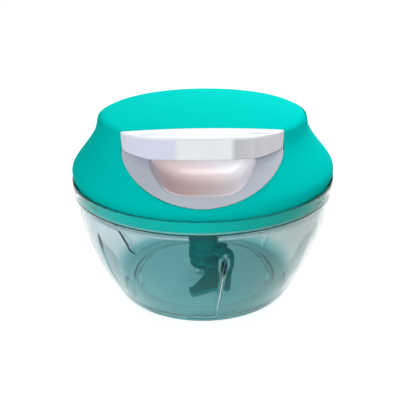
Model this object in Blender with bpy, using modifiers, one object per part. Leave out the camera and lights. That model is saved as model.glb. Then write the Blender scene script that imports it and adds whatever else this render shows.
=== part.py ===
# Manual food chopper with a pull cord, at real size, in metres, +Z up.
# The origin is the centre of the bowl's foot ring. The pull handle faces -Y.
# Every piece that turns does so about the bowl's centre line.

import math

import bmesh
import bpy
from mathutils import Matrix, Vector
from mathutils.geometry import delaunay_2d_cdt

# Clearances and overruns
TOUCH_GAP = 0.0003
SLIDE_GAP = 0.00035
BORE_GAP = 0.0003
DOG_GAP = 0.0005
OVERRUN = 0.002
WELD = 0.00001

# Kind of flat fill: the triangles inside the outline
FILL_INSIDE = 1

# Round parts: sides of a full circle
WIDE_SIDES = 40
MIDDLE_SIDES = 24
SMALL_SIDES = 12

# Bowl: foot, wall and collar
FOOT_RADIUS = 0.0438
FOOT_EDGE = 0.0014
FOOT_RING_WIDTH = 0.0060
FOOT_RECESS = 0.0018
BOWL_FLOOR = 0.0024
FLOOR_FILLET = 0.0045
BOWL_WALL = 0.0024
COLLAR_RADIUS = 0.0650
COLLAR_WALL = 0.0015
COLLAR_DROP = 0.0002
SHOULDER_STEP = 0.0010
LEDGE_DEPTH = 0.0069
LEDGE_THICKNESS = 0.0010
RIM_RISE = 0.0004
RIM_EDGE = 0.0003
# Share of the height between foot and shoulder, share of the radius gained
BOWL_SIDE_SHARES = (
    (0.0, 0.0), (0.027, 0.094), (0.09, 0.193), (0.181, 0.332), (0.289, 0.480),
    (0.434, 0.653), (0.597, 0.802), (0.778, 0.926), (1.0, 1.0),
)

# Bowl: inner fins
FIN_COUNT = 6
FIN_FIRST_ANGLE = math.radians(-82.5)
FIN_THICKNESS = 0.0018
FIN_DEPTH = 0.0050
FIN_DROP = 0.0085
FIN_STEPS = 8

# Bowl: lugs of the bayonet and the slots that they run in
LUG_COUNT = 3
LUG_FIRST_ANGLE = math.radians(-34.0)
LUG_WIDTH = 0.0060
LUG_DEPTH = 0.0010
LUG_HEIGHT = 0.0016
LUG_LIFT = 0.0032
LOCK_ANGLE = math.radians(15.0)
SLOT_GAP = 0.0004
SLOT_STEPS = 3

# Spindle and its boss in the bowl floor
PIN_RADIUS = 0.0025
PIN_TOP = 0.0340
PIN_CHAMFER = 0.0008
BOSS_RADIUS = 0.0050
BOSS_RISE = 0.0026
BOSS_BORE_DEPTH = 0.0034

# Seal ring on the ledge
SEAL_LIP = 0.0008
SEAL_HEIGHT = 0.0035
SEAL_WALL = 0.0017

# Lid cover. Its top is the chopper's whole height, and the levels below follow from it.
LID_TOP = 0.0928
LID_EDGE_STEP = 0.0004
LID_TOP_FILLET = 0.0016
LID_WALL = 0.0022
LID_TOP_WALL = 0.0020
SKIRT_WALL = 0.0022
SKIRT_RISE = 0.0023
# Share of the height from flange to top, share of the radius above the top's
LID_SIDE_SHARES = (
    (0.0, 0.945), (0.05, 0.985), (0.11, 1.0), (0.18, 0.975), (0.243, 0.904), (0.326, 0.780),
    (0.409, 0.637), (0.492, 0.497), (0.575, 0.363), (0.658, 0.246), (0.741, 0.151),
    (0.824, 0.092), (0.907, 0.055),
)

# Pull handle: outline seen from the front, from above and from the side
HANDLE_HALF_WIDTH = 0.0350
HANDLE_SIDE_OVER = 0.00193
HANDLE_STRAIGHT = 0.0085
HANDLE_DROP = 0.0165
HANDLE_ROUND_SHARE = 0.62
HANDLE_BACK_SAG = 0.0042
HANDLE_FRONT_SETBACK = 0.0015
HANDLE_LIP = 0.0096
FLANGE_TOP_STEP = 0.0017
FLANGE_FOOT_STEP = 0.0004
HANDLE_WALL = 0.0018
HANDLE_STEPS = 12
BACK_STEPS = 11
# Share of the half width, share of the depth from the corner to the front
LIP_SHARES = (
    (0.93, 0.33), (0.80, 0.61), (0.63, 0.845), (0.33, 0.975), (0.0, 1.0),
)
# Finger hollow, a rounded box that narrows downwards
HOLLOW_SIDE_INSET = 0.0085
HOLLOW_BACK_WALL = 0.0047
HOLLOW_HALF_HEIGHT = 0.0082
HOLLOW_FRONT_STEP = 0.0020
HOLLOW_CENTRE_DROP = 0.0150
HOLLOW_ROUND_POWER = 2.6
HOLLOW_TAPER_SHARE = 0.45
HOLLOW_SIDES = 24
HOLLOW_RINGS = 12
# Shallow dimples in the handle's top face
DIMPLE_HALF_WIDTH = 0.0045
DIMPLE_HALF_DEPTH = 0.0014
DIMPLE_DEPTH = 0.0006
DIMPLE_SIDE_INSET = 0.0110
DIMPLE_STEP = 0.0037
# Pocket wall in the lid
POCKET_WALL = 0.0018

# Cord, its bead and its guide
CORD_RADIUS = 0.0008
CORD_TURNS = 5
CORD_PITCH = 0.0021
CORD_SIDE_GAP = 0.0005
LOOP_POINTS = 24
BEAD_RADIUS = 0.0017
BEAD_SEAT = 0.0020
BEAD_ROOM = 0.0005
BEAD_BOSS_HALF_WIDTH = 0.0044
BEAD_BOSS_DROP = 0.0094
CORD_BORE_GAP = 0.0005
GUIDE_BORE_GAP = 0.0008
GUIDE_WALL = 0.0011
GUIDE_FLANGE_WALL = 0.0012
GUIDE_FLANGE_THICKNESS = 0.0010
LEAD_POINTS = 8

# Spool, spring post and axle
SPOOL_HEADROOM = 0.0020
SPOOL_RADIUS = 0.0260
SPOOL_SIDE_ROOM = 0.0073
SPOOL_FLANGE = 0.0010
SPOOL_FLOOR = 0.0012
DRUM_RADIUS = 0.0180
DRUM_WALL = 0.0015
SPOOL_HUB_RADIUS = 0.0060
SPOOL_HUB_DROP = 0.0016
POST_RADIUS = 0.0060
POST_LENGTH = 0.0138
POST_BORE_ROOF = 0.0008
AXLE_RADIUS = 0.0030
AXLE_ENTRY = 0.0028
AXLE_GROOVE_DEPTH = 0.0006
WASHER_THICKNESS = 0.0006
CLIP_THICKNESS = 0.0006
CLIP_WALL = 0.0022
CLIP_OPENING = math.radians(80.0)
CLIP_STEPS = 9
SPRING_STRIP = 0.0005
SPRING_HEIGHT = 0.0080
SPRING_TURNS = 6
SPRING_TURN_POINTS = 12

# One-way clutch: face teeth under the spool and on the clutch disc
TOOTH_COUNT = 12
TOOTH_HEIGHT = 0.0012
TOOTH_INNER_RADIUS = 0.0080
TOOTH_OUTER_RADIUS = 0.0125
TOOTH_ROOT = 0.0004
TOOTH_GAP = 0.0004
CLUTCH_TRAVEL = 0.0012
DISC_RADIUS = 0.0130
DISC_RIM = 0.0034
DISC_WEB = 0.0034
DISC_HUB_RADIUS = 0.0075
DISC_STOP_GAP = 0.0007
DISC_RECESS_RADIUS = 0.0070
CLUTCH_WIRE_RADIUS = 0.0004
CLUTCH_SPRING_TURNS = 2

# Lid base
PLATE_THICKNESS = 0.0020
BASE_RIM_WALL = 0.0018
BASE_LIP = 0.0010
BASE_LIP_OVERHANG = 0.0017
BEARING_WALL = 0.0020
BEARING_RISE = 0.0011
COVER_SCREW_INSET = 0.0109
COVER_POST_INSET = 0.0040
COVER_SCREW_ANGLES = (
    math.radians(-20.0), math.radians(45.0), math.radians(135.0), math.radians(200.0),
)
SCREW_RADIUS = 0.0013
SCREW_LENGTH = 0.0120
SCREW_HEAD_RADIUS = 0.0027
SCREW_HEAD_HEIGHT = 0.0015
SCREW_SLOT_WIDTH = 0.0006
SCREW_SLOT_DEPTH = 0.0006
SCREW_POST_RADIUS = 0.0034
SCREW_POST_ROOT = 0.0005

# Drive socket, its retaining ring and the head of the blade holder in it
SHANK_RADIUS = 0.0060
HEX_RADIUS = 0.0052
HEX_SIDES = 6
CUP_RADIUS = 0.0090
CUP_WALL = 0.0022
CUP_ROOF = 0.0015
CUP_DEPTH = 0.0040
SOCKET_RING_THICKNESS = 0.0008
SOCKET_RING_WALL = 0.0041
SHANK_BORE_DEPTH = 0.0042
DOG_COUNT = 3
DOG_WIDTH = 0.0026
HEAD_CORE_RADIUS = 0.0030
SOCKET_DOG_INNER_RADIUS = 0.0039
DOG_ROOT = 0.0006
HEAD_SHOULDER_GAP = 0.0007
HEAD_END_GAP = 0.0005

# Blade holder and blades
HOLDER_RADIUS = 0.0075
HOLDER_EDGE = 0.0014
HOLDER_BORE_ROOM = 0.0006
BLADE_THICKNESS = 0.0018
LOWER_BLADE_HEIGHT = 0.0105
UPPER_BLADE_HEIGHT = 0.0160
RING_INNER_RADIUS = 0.0055
RING_OUTER_RADIUS = 0.0072
RING_STEPS = 16
GROOVE_DEPTH = 0.0023
GRIND_WIDTH = 0.0016
GRIND_EDGE = 0.0003
ROOT_LOBE_RADIUS = 0.0040
ROOT_LOBE_REACH = 0.0090
ROOT_LOBE_HALF_HEIGHT = 0.0035
LOWER_ROOT_ANGLE = math.radians(-64.0)
UPPER_ROOT_ANGLE = math.radians(-10.0)
LOWER_ARMS = 2
LOWER_BLADE_SWEEP_GAP = 0.0070
LOWER_BLADE_WIDTH = 0.0150
UPPER_ARMS = 1
UPPER_BLADE_SWEEP_GAP = 0.0060
UPPER_BLADE_WIDTH = 0.0160
# Outlines of one arm as shares of its width and of its reach, from the root down
# the cutting side to the tip and back. The cut count says how far the edge is ground.
LOWER_CUT_COUNT = 6
LOWER_ARM_SHARES = (
    (0.14, 0.231), (0.06, 0.357), (-0.03, 0.456), (-0.19, 0.596), (-0.35, 0.727), (-0.485, 0.829),
    (-0.44, 0.917), (-0.335, 0.994), (0.0, 0.928), (0.29, 0.865), (0.445, 0.823), (0.53, 0.480),
    (0.54, 0.135),
)
UPPER_CUT_COUNT = 8
UPPER_ARM_SHARES = (
    (0.43, 0.13), (0.65, 0.18), (0.80, 0.235), (0.83, 0.335), (0.79, 0.47), (0.68, 0.587),
    (0.60, 0.72), (0.5625, 0.853), (0.58, 0.968), (0.6875, 1.0), (0.795, 0.925), (0.825, 0.73),
    (0.89, 0.547), (0.975, 0.398), (1.0, 0.249), (0.9625, 0.09), (0.8125, -0.01), (0.5375, -0.03),
)

# Levels that follow from the sizes above, from the lid's top down
LID_ROOF = LID_TOP - LID_TOP_WALL
HANDLE_STRAIGHT_FOOT = LID_TOP - HANDLE_STRAIGHT
HANDLE_FOOT = HANDLE_STRAIGHT_FOOT - HANDLE_DROP
LIP_FOOT = LID_TOP - HANDLE_LIP
HOLLOW_CENTRE = LID_TOP - HOLLOW_CENTRE_DROP
SCREW_POST_TOP = LID_ROOF + SCREW_POST_ROOT
SPOOL_TOP = LID_ROOF - SPOOL_HEADROOM
CORD_HEIGHT = SPOOL_TOP - SPOOL_FLANGE - CORD_SIDE_GAP - CORD_RADIUS
WINDING_HEIGHT = CORD_TURNS * CORD_PITCH
SPOOL_GROOVE_FOOT = CORD_HEIGHT - WINDING_HEIGHT - CORD_RADIUS - CORD_SIDE_GAP
SPOOL_FLOOR_FOOT = SPOOL_GROOVE_FOOT - SPOOL_FLOOR
SPOOL_HUB_FOOT = SPOOL_FLOOR_FOOT - SPOOL_HUB_DROP
POST_FOOT = LID_ROOF - POST_LENGTH
AXLE_TOP = LID_TOP - POST_BORE_ROOF - LID_TOP_WALL
WASHER_TOP = SPOOL_HUB_FOOT - TOUCH_GAP
CLIP_TOP = WASHER_TOP - WASHER_THICKNESS - TOUCH_GAP
CLIP_FOOT = CLIP_TOP - CLIP_THICKNESS
HEX_TOP = CLIP_FOOT - TOUCH_GAP
AXLE_FOOT = HEX_TOP - AXLE_ENTRY
TOOTH_TIP = SPOOL_FLOOR_FOOT - TOOTH_HEIGHT
DISC_TOOTH_TIP = SPOOL_FLOOR_FOOT - TOOTH_GAP
DISC_TOP = DISC_TOOTH_TIP - TOOTH_HEIGHT
DISC_RIM_FOOT = DISC_TOP - DISC_RIM
DISC_WEB_TOP = HEX_TOP - TOUCH_GAP
DISC_FOOT = DISC_WEB_TOP - DISC_WEB
RING_TOP = DISC_FOOT - CLUTCH_TRAVEL - DISC_STOP_GAP
RING_FOOT = RING_TOP - SOCKET_RING_THICKNESS
BEARING_TOP = RING_FOOT - TOUCH_GAP
PLATE_TOP = BEARING_TOP - BEARING_RISE
PLATE_FOOT = PLATE_TOP - PLATE_THICKNESS
CUP_TOP = PLATE_FOOT - TOUCH_GAP
CUP_CEILING = CUP_TOP - CUP_ROOF
CUP_FOOT = CUP_CEILING - CUP_DEPTH
HEAD_TOP = CUP_CEILING - HEAD_END_GAP
HOLDER_TOP = CUP_FOOT - HEAD_SHOULDER_GAP
RIM_HEIGHT = PLATE_TOP + RIM_RISE
FLANGE_HEIGHT = RIM_HEIGHT + TOUCH_GAP
SKIRT_TOP = FLANGE_HEIGHT + SKIRT_RISE
LEDGE_HEIGHT = RIM_HEIGHT - LEDGE_DEPTH
COLLAR_FOOT = LEDGE_HEIGHT - COLLAR_DROP
SHOULDER_HEIGHT = LEDGE_HEIGHT - LEDGE_THICKNESS
FIN_TOP = SHOULDER_HEIGHT - FIN_DROP
LUG_FOOT = LEDGE_HEIGHT + LUG_LIFT
SEAL_FOOT = LEDGE_HEIGHT + TOUCH_GAP
SKIRT_FOOT = SEAL_FOOT + SEAL_LIP + TOUCH_GAP
BASE_RIM_FOOT = SEAL_FOOT - TOUCH_GAP - BASE_LIP
FLOOR_TOP = FOOT_RECESS + BOWL_FLOOR
BOSS_TOP = FLOOR_TOP + BOSS_RISE
PIN_FOOT = BOSS_TOP - BOSS_BORE_DEPTH + TOUCH_GAP
HOLDER_FOOT = BOSS_TOP + TOUCH_GAP

# Radii and widths that follow, from the bowl's collar in
SHOULDER_RADIUS = COLLAR_RADIUS - SHOULDER_STEP
COLLAR_BORE = COLLAR_RADIUS - COLLAR_WALL
LUG_RADIUS = COLLAR_BORE - LUG_DEPTH
SKIRT_RADIUS = COLLAR_BORE - BORE_GAP
SKIRT_BORE = SKIRT_RADIUS - SKIRT_WALL
SEAL_RADIUS = SKIRT_BORE - BORE_GAP
SEAL_BORE = SEAL_RADIUS - SEAL_WALL
BASE_RIM_RADIUS = SEAL_BORE - BORE_GAP
BASE_RIM_BORE = BASE_RIM_RADIUS - BASE_RIM_WALL
LID_WIDEST_RADIUS = COLLAR_RADIUS - LID_EDGE_STEP
HANDLE_BACK = SPOOL_RADIUS + SPOOL_SIDE_ROOM
HANDLE_CORNER = HANDLE_BACK + HANDLE_BACK_SAG
LID_TOP_RADIUS = math.hypot(HANDLE_HALF_WIDTH - HANDLE_SIDE_OVER, HANDLE_CORNER)
HANDLE_FRONT = LID_TOP_RADIUS - HANDLE_FRONT_SETBACK
COVER_SCREW_CIRCLE = min(BASE_RIM_BORE - COVER_SCREW_INSET, LID_TOP_RADIUS - COVER_POST_INSET)
FLANGE_TOP = HANDLE_CORNER + FLANGE_TOP_STEP
FLANGE_FOOT = LID_WIDEST_RADIUS - FLANGE_FOOT_STEP
HOLLOW_HALF_WIDTH = HANDLE_HALF_WIDTH - HOLLOW_SIDE_INSET
HOLLOW_CENTRE_DEPTH = HANDLE_FRONT + HOLLOW_FRONT_STEP
HOLLOW_HALF_DEPTH = HOLLOW_CENTRE_DEPTH - HANDLE_BACK - HOLLOW_BACK_WALL
DIMPLE_OFFSET = HANDLE_HALF_WIDTH - DIMPLE_SIDE_INSET
DIMPLE_SETBACK = HANDLE_CORNER + DIMPLE_STEP
WINDING_RADIUS = DRUM_RADIUS + TOUCH_GAP + CORD_RADIUS
DRUM_BORE = DRUM_RADIUS - DRUM_WALL
SPOOL_BORE = AXLE_RADIUS + BORE_GAP
BEARING_BORE = SHANK_RADIUS + BORE_GAP
RING_BORE = HEX_RADIUS + BORE_GAP
RING_RADIUS = RING_BORE + SOCKET_RING_WALL
CUP_BORE = CUP_RADIUS - CUP_WALL
HOLDER_BORE = PIN_RADIUS + BORE_GAP

CLEAR = (0.80, 0.92, 0.91)
TEAL = (0.0, 0.62, 0.54)
DARK_TEAL = (0.0, 0.20, 0.18)
WHITE = (0.82, 0.82, 0.87)
STEEL = (0.55, 0.55, 0.56)
PALE = (0.86, 0.88, 0.86)

parts_collection = None
cutters_collection = None


# Scene, collections and materials

def clear_scene():
    for obj in list(bpy.data.objects):
        bpy.data.objects.remove(obj, do_unlink=True)


def new_collection(name):
    collection = bpy.data.collections.new(name)
    bpy.context.scene.collection.children.link(collection)
    return collection


def plastic(name, colour, roughness=0.35):
    return surface(name, colour, roughness, 0.0)


def metal(name, colour, roughness=0.3):
    return surface(name, colour, roughness, 1.0)


def surface(name, colour, roughness, metallic):
    material = bpy.data.materials.new(name)
    material.use_nodes = True
    shader = material.node_tree.nodes["Principled BSDF"]
    shader.inputs["Base Color"].default_value = (*colour, 1.0)
    shader.inputs["Roughness"].default_value = roughness
    shader.inputs["Metallic"].default_value = metallic
    return material


def clear_plastic(name, colour):
    material = surface(name, colour, 0.08, 0.0)
    shader = material.node_tree.nodes["Principled BSDF"]
    shader.inputs["Transmission Weight"].default_value = 0.9
    return material


# Objects from outlines

def add_part(name, mesh, material, parent=None):
    """Link a visible piece, with its own material, under the frame that carries it."""
    obj = bpy.data.objects.new(name, mesh)
    parts_collection.objects.link(obj)
    obj.data.materials.clear()
    obj.data.materials.append(material)
    if parent is not None:
        obj.parent = parent
        obj.matrix_parent_inverse = Matrix.Translation(-Vector(parent.location))
    return obj


def add_cutter(name, mesh):
    """Link a tool shape, which is not part of the object."""
    obj = bpy.data.objects.new(name, mesh)
    cutters_collection.objects.link(obj)
    obj.hide_render = True
    obj.display_type = "WIRE"
    return obj


def evaluated_mesh(obj):
    """The mesh that the object's modifiers or its curve settings make."""
    bpy.context.view_layer.update()
    depsgraph = bpy.context.evaluated_depsgraph_get()
    return bpy.data.meshes.new_from_object(obj.evaluated_get(depsgraph))


def weld(mesh):
    """Close the loose caps of a curve's mesh and turn its faces outwards."""
    shape = bmesh.new()
    shape.from_mesh(mesh)
    bmesh.ops.remove_doubles(shape, verts=shape.verts, dist=WELD)
    bmesh.ops.recalc_face_normals(shape, faces=shape.faces)
    shape.to_mesh(mesh)
    shape.free()
    return mesh


def joined(meshes):
    """One mesh that holds several bodies."""
    shape = bmesh.new()
    for mesh in meshes:
        shape.from_mesh(mesh)
    result = bpy.data.meshes.new("bodies")
    shape.to_mesh(result)
    shape.free()
    return result


def moved(mesh, matrix):
    mesh.transform(matrix)
    return mesh


def copies_about_z(mesh, angles):
    """Copies of a mesh turned about the centre line."""
    return joined([moved(mesh.copy(), Matrix.Rotation(angle, 4, "Z")) for angle in angles])


def ring_angles(count, first):
    return [first + math.tau * index / count for index in range(count)]


def circle_points(radius, sides):
    return [(radius * math.cos(angle), radius * math.sin(angle)) for angle in ring_angles(sides, 0.0)]


def spin(obj, sides):
    """Turn the object's profile about its Z axis."""
    screw = obj.modifiers.new("Turn", "SCREW")
    screw.steps = sides
    screw.render_steps = sides
    screw.use_merge_vertices = True
    screw.merge_threshold = WELD
    screw.use_smooth_shade = True


def profile_mesh(points, closed):
    """A profile in the XZ plane, given as radius and height."""
    edges = [(index, index + 1) for index in range(len(points) - 1)]
    if closed:
        edges.append((len(points) - 1, 0))
    mesh = bpy.data.meshes.new("profile")
    mesh.from_pydata([(radius, 0.0, height) for radius, height in points], edges, [])
    return mesh


def turned_mesh(points, sides, closed=False):
    """The turned body of a profile, as a mesh of its own."""
    obj = add_cutter("turning", profile_mesh(points, closed))
    spin(obj, sides)
    mesh = evaluated_mesh(obj)
    bpy.data.objects.remove(obj, do_unlink=True)
    return mesh


def curve_mesh(curve):
    obj = add_cutter("outline", curve)
    mesh = evaluated_mesh(obj)
    bpy.data.objects.remove(obj, do_unlink=True)
    return weld(mesh)


def plate_mesh(outline, thickness):
    """A flat outline in the XY plane, thickened equally up and down."""
    curve = bpy.data.curves.new("outline", "CURVE")
    curve.dimensions = "2D"
    curve.fill_mode = "BOTH"
    curve.extrude = thickness / 2
    spline = curve.splines.new("POLY")
    spline.points.add(len(outline) - 1)
    for point, (across, along) in zip(spline.points, outline):
        point.co = (across, along, 0.0, 1.0)
    spline.use_cyclic_u = True
    return curve_mesh(curve)


def tube_mesh(points, radius):
    """A round tube along a list of points."""
    curve = bpy.data.curves.new("tube", "CURVE")
    curve.dimensions = "3D"
    curve.bevel_depth = radius
    curve.bevel_resolution = 1
    curve.use_fill_caps = True
    spline = curve.splines.new("POLY")
    spline.points.add(len(points) - 1)
    for point, place in zip(spline.points, points):
        point.co = (*place, 1.0)
    return curve_mesh(curve)


def box_mesh(low, high):
    shape = bmesh.new()
    bmesh.ops.create_cube(shape, size=1.0)
    mesh = bpy.data.meshes.new("box")
    shape.to_mesh(mesh)
    shape.free()
    centre = [(a + b) / 2 for a, b in zip(low, high)]
    size = [b - a for a, b in zip(low, high)]
    return moved(mesh, Matrix.Translation(centre) @ Matrix.Diagonal((*size, 1.0)))


def cylinder_mesh(radius, foot, top, sides, place=(0.0, 0.0)):
    shape = bmesh.new()
    bmesh.ops.create_cone(
        shape, cap_ends=True, segments=sides, radius1=radius, radius2=radius, depth=top - foot)
    mesh = bpy.data.meshes.new("cylinder")
    shape.to_mesh(mesh)
    shape.free()
    return moved(mesh, Matrix.Translation((*place, (top + foot) / 2)))


def along_y(mesh):
    """Stand an XY outline up, so that its Y becomes height and its depth runs along Y."""
    return moved(mesh, Matrix.Rotation(math.pi / 2, 4, "X"))


def combine(obj, mesh, operation, label):
    """Join, cut or intersect an object with a tool shape."""
    modifier = obj.modifiers.new(label, "BOOLEAN")
    modifier.operation = operation
    modifier.solver = "EXACT"
    modifier.object = add_cutter(obj.name + "_" + label, mesh)


def shaped(mesh, *steps):
    """The mesh that is left when each (operation, tool mesh) has been done to a shape."""
    obj = add_cutter("shaping", mesh)
    for operation, tool in steps:
        combine(obj, tool, operation, "tool")
    result = evaluated_mesh(obj)
    for modifier in list(obj.modifiers):
        bpy.data.objects.remove(modifier.object, do_unlink=True)
    bpy.data.objects.remove(obj, do_unlink=True)
    return result


def smooth(obj, angle):
    """Shade a round piece smooth, with its edges kept sharp."""
    obj.data.shade_smooth()
    obj.data.set_sharp_from_angle(angle=angle)


def print_least_gap(name, points, radius, turn_points):
    """The least gap between a wound tube's turns, measured between its points."""
    least = math.inf
    for index, point in enumerate(points):
        for other in points[index + turn_points // 2:]:
            least = min(least, (Vector(point) - Vector(other)).length)
    print(name, "least gap to itself, mm:", round(1000 * (least - 2 * radius), 2))


# Bowl

def bowl_radius(height):
    """Outer radius of the bowl's side between foot and shoulder."""
    share = height / SHOULDER_HEIGHT
    for (low, near), (high, far) in zip(BOWL_SIDE_SHARES, BOWL_SIDE_SHARES[1:]):
        if share <= high:
            blend = (share - low) / (high - low)
            gained = near + blend * (far - near)
            return FOOT_RADIUS + gained * (SHOULDER_RADIUS - FOOT_RADIUS)
    return SHOULDER_RADIUS


def bowl_bore(height):
    return bowl_radius(height) - BOWL_WALL


def bowl_profile():
    """From the boss on the inside, up to the rim, and down the outside to the foot."""
    floor_turn = FLOOR_TOP + FLOOR_FILLET
    edge = bowl_bore(floor_turn)
    inside = [
        (0.0, BOSS_TOP - BOSS_BORE_DEPTH), (PIN_RADIUS + BORE_GAP, BOSS_TOP - BOSS_BORE_DEPTH),
        (PIN_RADIUS + BORE_GAP, BOSS_TOP), (BOSS_RADIUS, BOSS_TOP), (BOSS_RADIUS, FLOOR_TOP),
        (edge - FLOOR_FILLET, FLOOR_TOP), (edge - FLOOR_FILLET / 4, FLOOR_TOP + FLOOR_FILLET / 4),
        (edge, floor_turn),
    ]
    levels = [share * SHOULDER_HEIGHT for share, _ in BOWL_SIDE_SHARES]
    inside += [(bowl_bore(level), level) for level in levels if floor_turn < level < SHOULDER_HEIGHT]
    inside += [
        (SHOULDER_RADIUS - BOWL_WALL, LEDGE_HEIGHT), (COLLAR_BORE, LEDGE_HEIGHT),
        (COLLAR_BORE, RIM_HEIGHT - RIM_EDGE), (COLLAR_BORE + RIM_EDGE, RIM_HEIGHT),
    ]
    outside = [
        (COLLAR_RADIUS - RIM_EDGE, RIM_HEIGHT), (COLLAR_RADIUS, RIM_HEIGHT - RIM_EDGE),
        (COLLAR_RADIUS, COLLAR_FOOT),
    ]
    outside += [(bowl_radius(level), level) for level in reversed(levels) if level > FOOT_EDGE]
    outside += [
        (FOOT_RADIUS - FOOT_EDGE, 0.0), (FOOT_RADIUS - FOOT_EDGE - FOOT_RING_WIDTH, 0.0),
        (FOOT_RADIUS - FOOT_EDGE - FOOT_RING_WIDTH - FOOT_RECESS, FOOT_RECESS), (0.0, FOOT_RECESS),
    ]
    return inside + outside


def fin_outline():
    """An inner fin seen from the side: its back lies in the wall, its front swells inwards."""
    foot = FLOOR_TOP - BOWL_FLOOR / 2
    heights = [foot + (FIN_TOP - foot) * step / FIN_STEPS for step in range(FIN_STEPS + 1)]
    back = [(bowl_radius(height) - BOWL_WALL / 2, height) for height in heights]
    front = []
    for height in reversed(heights):
        swell = math.sin(math.pi / 2 * min(1.0, 2 * (FIN_TOP - height) / (FIN_TOP - foot)))
        front.append((bowl_bore(height) - FIN_DEPTH * swell, height))
    return back + front[1:]


def bowl_fins():
    plate = along_y(plate_mesh(fin_outline(), FIN_THICKNESS))
    return copies_about_z(plate, ring_angles(FIN_COUNT, FIN_FIRST_ANGLE))


def bowl_lugs():
    lug = box_mesh(
        (LUG_RADIUS, -LUG_WIDTH / 2, LUG_FOOT),
        (COLLAR_BORE + COLLAR_WALL / 2, LUG_WIDTH / 2, LUG_FOOT + LUG_HEIGHT))
    return copies_about_z(lug, ring_angles(LUG_COUNT, LUG_FIRST_ANGLE))


def make_bowl(frame):
    bowl = add_part("bowl", profile_mesh(bowl_profile(), False), clear_plastic("clear_bowl", CLEAR), frame)
    spin(bowl, WIDE_SIDES)
    combine(bowl, bowl_fins(), "UNION", "fins")
    combine(bowl, bowl_lugs(), "UNION", "lugs")


def make_spindle_pin(frame):
    profile = [
        (0.0, PIN_TOP), (PIN_RADIUS - PIN_CHAMFER, PIN_TOP), (PIN_RADIUS, PIN_TOP - PIN_CHAMFER),
        (PIN_RADIUS, PIN_FOOT), (0.0, PIN_FOOT),
    ]
    pin = add_part("spindle_pin", profile_mesh(profile, False), metal("pin_steel", STEEL), frame)
    spin(pin, SMALL_SIDES)


# Blade unit

def blade_outline(shares, width, reach, cut_count, arms):
    """Evenly spaced arms, joined by arcs of the ring round the holder.
    Each point is followed by whether the edge is ground there."""
    arm = [Vector((across * width, -along * reach)) for across, along in shares]
    steps = RING_STEPS // arms
    start = math.atan2(arm[-1].y, arm[-1].x)
    end = math.atan2(arm[0].y, arm[0].x) + math.tau / arms
    outline = []
    for part_turn in ring_angles(arms, 0.0):
        turn = Matrix.Rotation(part_turn, 2)
        outline += [(turn @ point, 0 < index < cut_count) for index, point in enumerate(arm)]
        for step in range(1, steps):
            angle = start + (end - start) * step / steps
            place = Vector((math.cos(angle), math.sin(angle))) * RING_OUTER_RADIUS
            outline.append((turn @ place, False))
    return outline


def fill_between(shape, outer, inner):
    """Cover the flat space between two closed loops of vertices, of which the inner is round."""
    verts = outer + inner
    count = len(outer)
    edges = [(index, (index + 1) % count) for index in range(count)]
    edges += [(count + index, count + (index + 1) % len(inner)) for index in range(len(inner))]
    _, _, triangles, sources, _, _ = delaunay_2d_cdt(
        [vert.co.xy for vert in verts], edges, [], FILL_INSIDE, WELD)
    for triangle in triangles:
        corners = [sources[corner][0] for corner in triangle]
        if min(corners) < count:
            shape.faces.new([verts[corner] for corner in corners])


def ground_plate(outline):
    """A bored flat plate whose ground points slope from the top face to a thin edge."""
    shape = bmesh.new()
    count = len(outline)
    low = [shape.verts.new((*point, -BLADE_THICKNESS / 2)) for point, _ in outline]
    edge = []
    high = []
    for index, (point, ground) in enumerate(outline):
        along = outline[(index + 1) % count][0] - outline[index - 1][0]
        inward = Vector((-along.y, along.x)).normalized()
        inset = point + inward * GRIND_WIDTH if ground else point
        high.append(shape.verts.new((*inset, BLADE_THICKNESS / 2)))
        edge.append(shape.verts.new((*point, GRIND_EDGE - BLADE_THICKNESS / 2)) if ground else high[index])
    low_bore, high_bore = [
        [shape.verts.new((*place, level)) for place in circle_points(RING_INNER_RADIUS, MIDDLE_SIDES)]
        for level in (-BLADE_THICKNESS / 2, BLADE_THICKNESS / 2)]
    fill_between(shape, low, low_bore)
    fill_between(shape, high, high_bore)
    for index in range(MIDDLE_SIDES):
        after = (index + 1) % MIDDLE_SIDES
        shape.faces.new((low_bore[index], low_bore[after], high_bore[after], high_bore[index]))
    for index in range(count):
        after = (index + 1) % count
        shape.faces.new((low[index], low[after], edge[after], edge[index]))
        slope = [edge[index], edge[after], high[after], high[index]]
        corners = [vert for place, vert in enumerate(slope) if vert not in slope[:place]]
        if len(corners) > 2:
            shape.faces.new(corners)
    bmesh.ops.triangulate(shape, faces=shape.faces)
    bmesh.ops.recalc_face_normals(shape, faces=shape.faces)
    mesh = bpy.data.meshes.new("blade")
    shape.to_mesh(mesh)
    shape.free()
    return mesh


def blade_reach(height, gap):
    """How far an arm reaches to clear the bowl's fins at its height."""
    return bowl_bore(height) - FIN_DEPTH - gap


def make_blades(frame):
    lower = blade_outline(
        LOWER_ARM_SHARES, LOWER_BLADE_WIDTH, blade_reach(LOWER_BLADE_HEIGHT, LOWER_BLADE_SWEEP_GAP),
        LOWER_CUT_COUNT, LOWER_ARMS)
    upper = blade_outline(
        UPPER_ARM_SHARES, UPPER_BLADE_WIDTH, blade_reach(UPPER_BLADE_HEIGHT, UPPER_BLADE_SWEEP_GAP),
        UPPER_CUT_COUNT, UPPER_ARMS)
    finish = metal("coated_blade_steel", DARK_TEAL)
    for name, outline, height in (
            ("blade_lower", lower, LOWER_BLADE_HEIGHT), ("blade_upper", upper, UPPER_BLADE_HEIGHT)):
        mesh = moved(ground_plate(outline), Matrix.Translation((0.0, 0.0, height)))
        add_part(name, mesh, finish, frame)


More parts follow.
